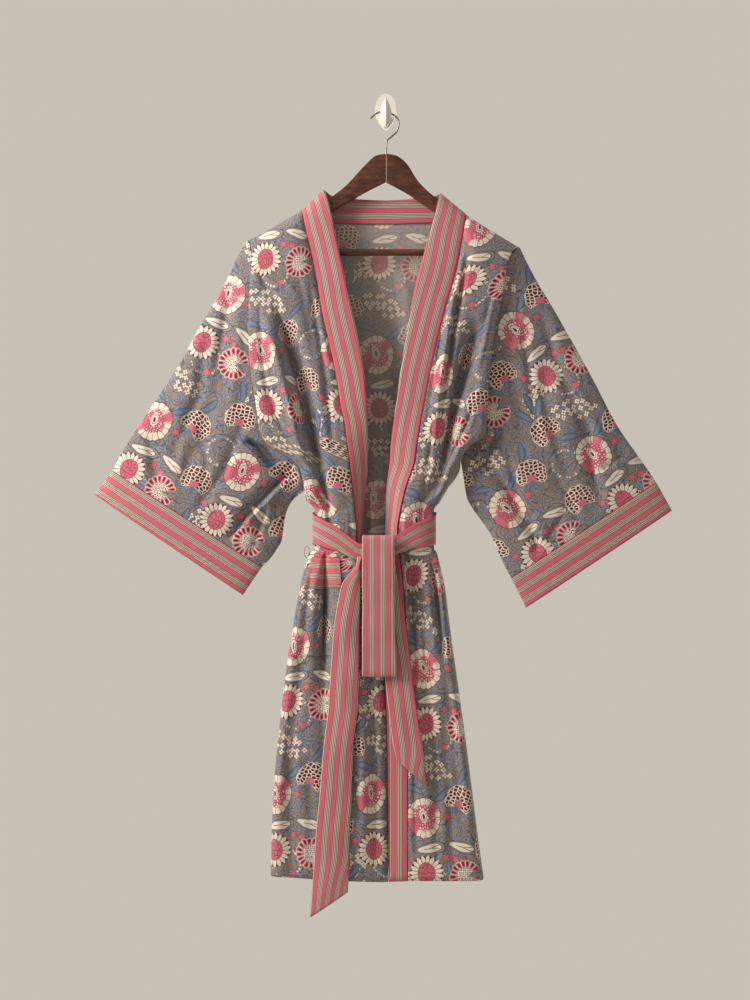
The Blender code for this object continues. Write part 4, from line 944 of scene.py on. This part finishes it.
def foldDepth(folds, x, z):  # all troughs and ridges of a table at one point
    total = 0.0
    for x1, z1, x2, z2, x3, z3, width, depth in zip(*folds.values()):
        if not min(z1, z3) < z < max(z1, z3):
            continue
        if (z2 - z) * (z1 - z) <= 0:
            part = (z1 - z) / (z1 - z2)
            run, middle = part * 0.5, x1 + (x2 - x1) * part
        else:
            part = (z2 - z) / (z2 - z3)
            run, middle = 0.5 + part * 0.5, x2 + (x3 - x2) * part
        reach = (x - middle) / width
        total += depth * math.sin(math.pi * run) ** 0.7 * math.exp(-reach * reach)
    return total


def armhole(side, z):  # where it runs at a height, how far down that is, and how full the sleeve is there
    shape = armholeEnds[side]
    (topX, topZ), (lowX, lowZ) = shape["top"], shape["low"]
    down = max(0.0, min(1.0, (topZ - z) / (topZ - lowZ)))
    x = between(topX, lowX, down) + shape["bow"] * math.sin(math.pi * down ** 0.6)
    return x, down, bulge(down, 0.0)


def bulge(down, along):  # fullness from the top fold, at 0, to the lower edge, at 1
    return max(0.0, 1 - (1 - 2 * down) ** 2) ** (0.5 * (0.6 + 0.3 * along))


cinched = dict(wideFrom=0.034, wider=1.2, middleZ=-0.700, deepFrom=0.048, deeper=0.5, least=0.009)


def cinch(x, y, z):  # draws the robe in under the sash, less and less away from it
    wide = waist["half"][0] + max(0.0, abs(z - waist["z"]) - cinched["wideFrom"]) * cinched["wider"]
    deep = waist["half"][1] + max(0.0, abs(z - cinched["middleZ"]) - cinched["deepFrom"]) * cinched["deeper"]
    across = max(-0.995, min(0.995, (x - waist["x"]) / wide))
    limit = max(cinched["least"], deep * (1 - abs(across) ** waist["power"]) ** (1 / waist["power"]))
    return waist["x"] + wide * across, max(waist["y"] - limit, min(waist["y"] + limit, y))


def endsOf(down):  # 1 at both ends of an armhole
    return max(ease(down, 0.85, 1.0), ease(down, 0.10, 0.0))


def frontSeam(side, z, ridge):
    shape = armholeEnds[side]
    if z > shape["low"][1]:
        x, down, out = armhole(side, z)
        step = sleeve["step"] * ease(min(down / 0.03, (1 - down) / 0.02), 0, 1)
        turning = endsOf(down)
        x += shape["inward"] * (sewing["gap"] + sewing["turn"] * 1.6 * turning)
        return x, hanger["y"] - sleeve["front"] * out - step - sewing["turn"] * (0.3 + 0.7 * turning)
    blend = ease(z, shape["low"][1], shape["low"][1] - 0.05)
    x = shape["low"][0] + shape["inward"] * (sewing["gap"] + 2 * sewing["turn"])
    x = between(x, ridge + shape["inward"] * 0.001, blend)
    return x, atHeight(sideSeam, "sideY", z) - sewing["turn"]


def frontPoint(side, u, v):
    row = v * lastFrontRow
    innerZ, outerZ, ridge, bandX, bandY, frontY = valuesAt(frontRows[side], v)
    inward = armholeEnds[side]["inward"]
    seamX, seamY = frontSeam(side, outerZ, ridge)
    turnY = seamY + 0.45 * (frontY - seamY)
    shoulder = ease(row, 0.0, 3.0)
    lead = ridge + inward * 0.007
    points = ((seamX, seamY), ((seamX + ridge) / 2, seamY + 0.2 * (frontY - seamY)), (ridge, turnY),
              (lead, frontY + 0.0015 * shoulder), (lead + 0.35 * (bandX - lead), frontY),
              (lead + 0.7 * (bandX - lead), frontY),
              (lead + 0.92 * (bandX - lead), (frontY + bandY) / 2), (bandX, bandY))
    x, y = through(points, (0.0, 0.05, 0.10, 0.15, 0.42, 0.7, 0.92, 1.0), u)
    across = max(0.0, min(1.0, (x - ridge) / (bandX - ridge)))
    z = outerZ + (innerZ - outerZ) * across
    if u > 0.15:
        window = ease(u, 0.15, 0.28) * ease(1 - u, 0.0, 0.1) * ease(row, 3.0, 6.0)
        trough = foldDepth(frontFolds[side], x, z) + foldDepth(frontCreases[side], x, z) + gatherDepth(x, z)
        y += (min(0.030, trough) + crumple(x, z, 1.0)) * window
    x, y = cinch(x, y, z)
    return x, y, z


def movedOut(side, u, v, by):  # a point in front of a front's cloth
    step = 0.002
    here = Vector(frontPoint(side, u, v))
    across = Vector(frontPoint(side, u + step, v)) - Vector(frontPoint(side, u - step, v))
    down = Vector(frontPoint(side, u, v + step)) - Vector(frontPoint(side, u, v - step))
    out = across.cross(down).normalized()
    if out.y > 0:
        out = -out
    return here + out * by


def bandPoint(side, u, v):
    row = v * lastFrontRow
    inward = armholeEnds[side]["inward"]
    seam = Vector(frontPoint(side, 1.0, v))
    free = Vector(valuesAt(bandEdge[side], v))
    turned = abs((free - seam).normalized().y)
    seam.x += inward * (sewing["gap"] + 2 * sewing["turn"] * (0.25 + turned))
    point = seam.lerp(free, u)
    crown = math.sin(math.pi * u)
    point.y -= 0.0012 * crown * ease(row, 1.0, 4.0)
    return point


def backPoint(u, v):  # the back hangs from the neck seam and the shoulders, between the side seams
    rowZ, deep, gather = valuesAt(backRows, v)
    fade = ease(rowZ, shoulderFade, neckBase)
    seams = []
    for side in ("left", "right"):
        shape = armholeEnds[side]
        edgeZ = rowZ + (shape["top"][1] - neckBase) * fade
        ridge = atHeight(frontRows[side], "ridgeX", edgeZ, "outerZ")
        if edgeZ > shape["low"][1]:
            x, down, out = armhole(side, edgeZ)
            turning = endsOf(down)
            x += shape["inward"] * (sewing["gap"] + sewing["turn"] * (0.35 + 1.25 * turning))
            y = hanger["y"] + sleeve["back"] * out + sewing["turn"] * turning
        else:
            x = frontSeam(side, edgeZ, ridge)[0]
            y = atHeight(sideSeam, "sideY", edgeZ) + sewing["turn"]
        seams.append((x, y, edgeZ))
    (leftX, leftY, leftZ), (rightX, rightY, rightZ) = seams
    x = between(leftX, rightX, u)
    if x < neckRows["x"][0]:
        rise = leftZ + (neckRows["z"][0] - neckBase) * fade + (rowZ - leftZ)
        z = between(leftZ, rise, (x - leftX) / (neckRows["x"][0] - leftX))
        topY = neckRows["backY"][0]
    elif x > neckRows["x"][-1]:
        rise = rowZ + (neckRows["z"][-1] - neckBase) * fade
        z = between(rightZ, rise, (rightX - x) / (rightX - neckRows["x"][-1]))
        topY = neckRows["backY"][0]
    else:
        z = rowZ + (float(np.interp(x, neckRows["x"], neckRows["z"])) - neckBase) * fade
        topY = float(np.interp(x, neckRows["x"], neckRows["backY"]))
    drop = neckBase - rowZ
    roll = 0.46 * ease(drop, 0, 0.0012) + 0.32 * ease(drop, 0.0, 0.006) + 0.22 * ease(drop, 0.0, 0.022)
    wave = 0.5 - 0.5 * math.cos(2 * math.pi * backGathers * u)
    edge = ease(min(u, 1 - u), 0.0, 0.1)
    y = between(topY, deep - gather * wave * edge, roll)
    trough = foldDepth(backCreases, x, z) + gatherDepth(x, z) + crumple(x, z, 5.0)
    y -= max(-0.002, trough * edge * ease(drop, 0.0, 0.03))
    edgeY = leftY if u < 0.5 else rightY
    y = between(edgeY, y, edge ** 0.6)
    x, y = cinch(x, y, z)
    return x, y, z


def neckBandPoint(u, v):
    values = valuesAt(neckBandRows, v)
    return Vector(values[:3]).lerp(Vector(values[3:]), u)


def sleevePoint(side, u, v):
    topX, topZ, lowX, lowZ = valuesAt(sleeveRows[side], v)
    middle, front, back = valuesAt(sleeveDepth, v)
    down = 0.5 - 0.5 * math.cos(2 * math.pi * u)
    x, z = between(topX, lowX, down), between(topZ, lowZ, down)
    x += armholeEnds[side]["bow"] * math.sin(math.pi * down ** 0.6) * ease(v, 0.45, 0.0)
    out = bulge(down, v)
    if u <= 0.5:
        trough = foldDepth(sleeveFolds[side], x, z) + foldDepth(sleeveCreases[side], x, z)
        trough = (trough + crumple(x, z, 3.0)) * ease(v, 0.06, 0.22) * ease(v, 0.98, 0.85)
        y = middle - front * out + min(trough, 0.75 * front * out)
    else:
        wave = foldDepth(sleeveFolds[side], x + 0.02, z + 0.01)
        wave += foldDepth(sleeveCreases[side], x + 0.03, z + 0.02)
        wave = (wave + crumple(x, z, 8.0)) * ease(v, 0.06, 0.22) * ease(v, 0.98, 0.85)
        y = middle + back * out - min(0.6 * wave, 0.5 * back * out)
    x -= armholeEnds[side]["inward"] * 0.5 * sewing["gap"] * ease(v, 0.1, 0.0)
    return x, y, z


def cuffPoint(side, u, v):
    start = Vector(sleevePoint(side, u, 1.0))
    (topX, topZ), (lowX, lowZ) = cuffEnd[side]["top"], cuffEnd[side]["low"]
    down = 0.5 - 0.5 * math.cos(2 * math.pi * u)
    sweep = math.copysign(sleeve["cuffHalf"] * bulge(down, 1.0), u - 0.5)
    far = Vector((between(topX, lowX, down), sleeve["cuffY"] + sweep, between(topZ, lowZ, down)))
    gap = sewing["gap"] / (far - start).length
    return start.lerp(far, gap + (1 - gap) * v)


def sashPoint(u, v):
    turn = 2 * math.pi * u
    cos, sin = math.cos(turn), math.sin(turn)
    power = 2 / waist["power"]
    x = waist["x"] - sash["half"][0] * math.copysign(abs(cos) ** power, cos)
    y = waist["y"] - sash["half"][1] * math.copysign(abs(sin) ** power, sin)
    front = ease(sin, -0.1, 0.25)
    z = between(sash["backZ"], float(np.interp(x, sashFront["x"], sashFront["z"])), front)
    half = between(sash["backHalf"], float(np.interp(x, sashFront["x"], sashFront["half"])), front)
    puff = 1 + ripples["puff"] * max(0.0, noise.noise(Vector((x * 34, v * 2.2, y * 20))))
    return between(waist["x"], x, puff), between(waist["y"], y, puff), z + half * (1 - 2 * v)


def frontFace(z):  # how far out the robe's front stands at a height
    return atHeight(frontRows["left"], "frontY", z, "innerZ")


def stripPoint(columns, u, v, cup, slant):  # a hanging end of the sash, hollow by cup and cut at a slant
    z, leftX, rightX, off = valuesAt(columns, v)
    crown = math.sin(math.pi * u)
    z += slant * (u - 0.5) * ease(v, 0.86, 1.0)
    ripple = noise.noise(Vector((u * 1.6, z * 19, leftX * 9)))
    sway = ripples["sway"] * noise.noise(Vector((7.0, z * 16, leftX * 4)))
    y = frontFace(z) - off - cup * crown - ripples["depth"] * (0.6 + ripple)
    return between(leftX, rightX, u) + sway, y, z


# Cloth
print("stage: cloth")


def alongOf(points, axis):
    steps = np.linalg.norm(np.diff(points, axis=axis), axis=2)
    shape = list(points.shape[:2])
    shape[axis] = 1
    return np.concatenate([np.zeros(shape), np.cumsum(steps, axis=axis)], axis=axis)


def panelMap(points, anchor, start):  # print laid from one column, level with the height
    along = alongOf(points, 1)
    return along - along[:, anchor:anchor + 1] - start[0], points[..., 2] - start[1]


def stripesDown(points, start=0.0):  # stripes run from row to row
    return alongOf(points, 0), alongOf(points, 1) + start


def stripesAcross(points, start=0.0):
    return alongOf(points, 1), alongOf(points, 0) + start


def lay(name, place, columns, rows, wall, finish, mapped, facing, ring=False, inside=None,
        reach=0.0):
    points = np.array([[place(u, v) for u in columns] for v in rows])
    if reach:  # its sides go on under the edges beside them, by this much of a step
        for edge, beside in ((0, 1), (-1, -2)):
            points[:, edge] += reach * (points[:, edge] - points[:, beside])
    mapX, mapY = mapped(points)
    mesh = bmesh.new()
    across, down = len(columns) - 1, len(rows) - 1
    bmesh.ops.create_grid(mesh, x_segments=across, y_segments=down, size=0.5)
    where = {}
    for point in mesh.verts:
        spot = round((point.co.y + 0.5) * down), round((point.co.x + 0.5) * across)
        where[point] = spot
        point.co = Vector(points[spot])
    layer = mesh.loops.layers.uv.new("cloth")
    towards = 0.0
    middle = points.mean(axis=1)
    mesh.normal_update()
    for face in mesh.faces:
        face.smooth = True
        for corner in face.loops:
            spot = where[corner.vert]
            corner[layer].uv = mapX[spot], mapY[spot]
        out = facing
        if ring:
            out = face.calc_center_median() - Vector(middle[where[face.verts[0]][0]])
        towards += face.normal.dot(out) * face.calc_area()
    if towards < 0:
        bmesh.ops.reverse_faces(mesh, faces=mesh.faces)
    if ring:
        bmesh.ops.remove_doubles(mesh, verts=mesh.verts, dist=0.00001)
    data = bpy.data.meshes.new(name + "_cloth")
    mesh.to_mesh(data)
    area = sum(face.calc_area() for face in mesh.faces)
    mesh.free()
    piece = placed(name + "_cloth", data)
    data.materials.append(finish)
    data.materials.append(inside or finish)
    shell = piece.modifiers.new("wall", "SOLIDIFY")
    shell.thickness = wall
    shell.offset = 0.0
    shell.material_offset = 1
    wide = alongOf(points, 1)[:, -1].max()
    long = alongOf(points, 0)[-1].max()
    print(f"  {name}: {len(data.polygons)} faces, area {area:.4f}, widest {wide:.3f}, longest {long:.3f}")
    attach(piece, "root")
    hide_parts(name)
    return piece


toViewer = Vector((0, -1, 0))
toWall = Vector((0, 1, 0))
# Where the print starts on each front, and its two directions and its start on each sleeve.
printStart = dict(left=(0.022, -0.398), right=(0.0276, -1.1486))
sleeveWeave = dict(left=((0.866, -0.5), (0.5, 0.866), (-0.2333, -0.5929)),
                   right=((0.85, 0.53), (-0.53, 0.85), (0.337, -0.5654)))


def spread(count):  # columns of a front, closer together over its shoulder fold
    return even(12, 0.0, 0.15) + even(count, 0.15, 1.0)[1:]


def sleeveMap(side, points):  # the print follows the sleeve's slant, and turns over its lower edge
    along, up, start = sleeveWeave[side]
    x = points[..., 0] - start[0]
    z = points[..., 2] - start[1]
    mapX = x * along[0] + z * along[1]
    mapY = x * up[0] + z * up[1]
    top = mapX[:, :1]
    half = points.shape[1] // 2
    mapX[:, half + 1:] = 2 * top - mapX[:, half + 1:]
    return mapX, mapY


def frontMap(side, points):  # from the shoulder fold on the left, from the band on the right
    anchor, way = (8, 1) if side == "left" else (points.shape[1] - 1, -1)
    mapX, mapY = panelMap(points, anchor, (0, printStart[side][1]))
    return way * mapX - printStart[side][0], mapY


for side in ("left", "right"):
    lay("front_" + side, lambda u, v: frontPoint(side, u, v), spread(100), even(240), walls["cloth"],
             finishes["print"], lambda points: frontMap(side, points), toViewer,
             inside=finishes["printInside"])
    lay("band_" + side, lambda u, v: bandPoint(side, u, v), even(12), even(240), walls["band"],
             finishes["stripe"], stripesDown, toViewer, inside=finishes["stripeInside"])
    lay("sleeve_" + side, lambda u, v: sleevePoint(side, u, v), even(180), even(120), walls["cloth"],
             finishes["print"], lambda points: sleeveMap(side, points), toViewer, ring=True,
             inside=finishes["printInside"])
    lay("cuff_" + side, lambda u, v: cuffPoint(side, u, v), even(180), even(14), walls["band"],
             finishes["stripe"], lambda points: stripesAcross(points, 0.0075), toViewer, ring=True,
             inside=finishes["stripeInside"])

lay("back", backPoint, even(150), even(220), walls["cloth"], finishes["print"],
         lambda points: panelMap(points, 75, (0.0, -0.4)), toWall, inside=finishes["printInside"],
         reach=0.4)
lay("band_neck", neckBandPoint, even(12), even(120), walls["band"], finishes["stripe"], stripesDown,
         toWall)

# The pocket on the left front: from side to side, and its rows counted as the front's are.
pocket = dict(sides=(0.15, 0.6), mouth=19, seam=20, foot=22, gap=0.003)


def pocketRows(count, top, low):
    return even(count, top / lastFrontRow, low / lastFrontRow)


lift = (walls["cloth"] + walls["band"]) / 2 + sewing["gap"]
pocketColumns = even(40, *pocket["sides"])
lay("pocket_trim", lambda u, v: movedOut("left", u, v, lift), pocketColumns,
         pocketRows(6, pocket["mouth"], pocket["seam"] - pocket["gap"]), walls["band"], finishes["stripe"],
         stripesAcross, toViewer)
lay("pocket", lambda u, v: movedOut("left", u, v, walls["cloth"] + sewing["gap"]), pocketColumns,
         pocketRows(60, pocket["seam"] + pocket["gap"], pocket["foot"]), walls["cloth"], finishes["print"],
         lambda points: panelMap(points, 0, (0.0, -0.4)), toViewer)

knotSize = dict(centre=(-0.0135, -0.0841, -0.7215), half=(0.0275, 0.0063, 0.0175), squash=0.12)
knotData = bmesh.new()
bmesh.ops.create_uvsphere(knotData, u_segments=60, v_segments=40, radius=1.0)
layer = knotData.loops.layers.uv.new("cloth")
for face in knotData.faces:
    face.smooth = True
    for corner in face.loops:
        corner[layer].uv = corner.vert.co.z * 0.02, corner.vert.co.x * 0.03
for point in knotData.verts:
    x, y, z = point.co
    (middleX, middleY, middleZ), (halfX, halfY, halfZ) = knotSize["centre"], knotSize["half"]
    flat = 1 - knotSize["squash"] * z * z
    point.co = Vector((middleX + halfX * x * flat, middleY + halfY * y, middleZ + halfZ * z))
knotMesh = bpy.data.meshes.new("sash_knot")
knotData.to_mesh(knotMesh)
knotData.free()
knotMesh.materials.append(finishes["stripe"])
knot = placed("sash_knot_cloth", knotMesh)
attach(knot, "root")
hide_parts("sash_knot")

lay("sash_wrap", sashPoint, even(240), even(16), walls["sash"], finishes["stripe"], stripesAcross,
         toViewer, ring=True)
strips = dict(  # hollow of each strip, and how much longer its end is at one edge
    sash_tail_long=dict(columns=tailLong, cup=0.003, slant=0.041, rows=140),
    sash_tail_short=dict(columns=tailShort, cup=0.0015, slant=-0.043, rows=120),
    sash_loop=dict(columns=sashLoop, cup=0.001, slant=0.0, rows=160))
for name, strip in strips.items():
    lay(name, lambda u, v: stripPoint(strip["columns"], u, v, strip["cup"], strip["slant"]), even(16),
             even(strip["rows"]), walls["sash"], finishes["stripe"],
             lambda points: stripesDown(points, -0.0017), toViewer)

beltLoop = dict(centre=(-0.12875, -0.0465, -0.7225), half=(0.0040, 0.0090), tape=0.0050)


def loopPoint(u, v):
    turn = 2 * math.pi * u
    x, y, z = beltLoop["centre"]
    halfX, halfZ = beltLoop["half"]
    return x + halfX * math.cos(turn), y + beltLoop["tape"] * (v - 0.5), z + halfZ * math.sin(turn)


lay("belt_loop", loopPoint, even(40), even(6), walls["cloth"], finishes["print"],
    lambda points: panelMap(points, 0, (0.0, 0.0)), toViewer, ring=True)

# Hanger and wall hook
print("stage: hanger and wall hook")


def smoothOutline(points, fine=5):
    knots = list(range(len(points)))
    return [through(points, knots, place / fine) for place in range(fine * (len(points) - 1) + 1)]


for side, outline in woodOutline.items():
    made = bmesh.new()
    frontY = hanger["y"] - hanger["thick"] / 2
    made.faces.new([made.verts.new((x * mm, frontY, z * mm)) for x, z in smoothOutline(outline)])
    bmesh.ops.remove_doubles(made, verts=made.verts, dist=0.00001)
    grown = bmesh.ops.extrude_face_region(made, geom=list(made.faces))
    for part in grown["geom"]:
        if isinstance(part, bmesh.types.BMVert):
            part.co.y += hanger["thick"]
    bmesh.ops.recalc_face_normals(made, faces=made.faces)
    data = bpy.data.meshes.new("hanger_wood_" + side)
    made.to_mesh(data)
    made.free()
    data.shade_smooth()
    data.materials.append(finishes["wood"])
    half = placed("hanger_half_" + side, data)
    rounding = half.modifiers.new("round", "BEVEL")
    rounding.width = hanger["round"]
    rounding.segments = 4
    rounding.limit_method = "ANGLE"
    rounding.angle_limit = math.radians(50)
    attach(half, "root")
    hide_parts("hanger_wood_" + side)

wire = bpy.data.curves.new("hanger_hook", "CURVE")
wire.dimensions = "3D"
wire.bevel_depth = hanger["wire"]
wire.bevel_resolution = 6
wire.use_fill_caps = True
spline = wire.splines.new("POLY")
places = even(120, 0, len(wireRoute) - 1)
spline.points.add(len(places) - 1)
for point, place in zip(spline.points, places):
    x, z = through(wireRoute, list(range(len(wireRoute))), place)
    point.co = (x * mm, hanger["y"], z * mm, 1)
wire.materials.append(finishes["steel"])
hook = placed("hanger_wire", wire)
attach(hook, "root")
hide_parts("hanger_hook")

for name, finish in (("hanger_bar", "wood"), ("wall_hook", "plastic")):
    node = bpy.data.objects[name]
    for slot in node.material_slots:
        slot.material = finishes[finish]

# Floor and air
print("stage: floor")
# The air is darker behind the camera than beyond the robe.
studio = dict(floorSize=(6, 2.5), floorCentre=(0, -0.25, -1.72), floorTone=(214, 208, 196),
              airTones=((0.30, (148, 143, 134)), (0.62, (199, 193, 181))))
floorMesh = bmesh.new()
bmesh.ops.create_grid(floorMesh, x_segments=1, y_segments=1, size=0.5)
for point in floorMesh.verts:
    wide, deep = studio["floorSize"]
    middleX, middleY, level = studio["floorCentre"]
    point.co = Vector((point.co.x * wide + middleX, point.co.y * deep + middleY, level))
floorData = bpy.data.meshes.new("floor")
floorMesh.to_mesh(floorData)
floorMesh.free()
plain = Paint("floor").send(Base_Color=tone(*studio["floorTone"]), Roughness=0.9)
floorData.materials.append(plain)
floor = placed("floor", floorData)

world = bpy.data.worlds.new("room")
bpy.context.scene.world = world
world.use_nodes = True
room = world.node_tree
facing, parts, fade, lean = (room.nodes.new("ShaderNode" + kind)
                             for kind in ("TexCoord", "SeparateXYZ", "ValToRGB", "Math"))
for stop, (place, shade) in zip(fade.color_ramp.elements, studio["airTones"]):
    stop.position, stop.color = place, (*tone(*shade), 1.0)
lean.operation = "MULTIPLY_ADD"
lean.inputs[1].default_value = lean.inputs[2].default_value = 0.5
room.links.new(facing.outputs["Generated"], parts.inputs[0])
room.links.new(parts.outputs["Y"], lean.inputs[0])
room.links.new(lean.outputs[0], fade.inputs[0])
room.links.new(fade.outputs[0], room.nodes["Background"].inputs["Color"])
bpy.context.scene.view_settings.view_transform = "Standard"
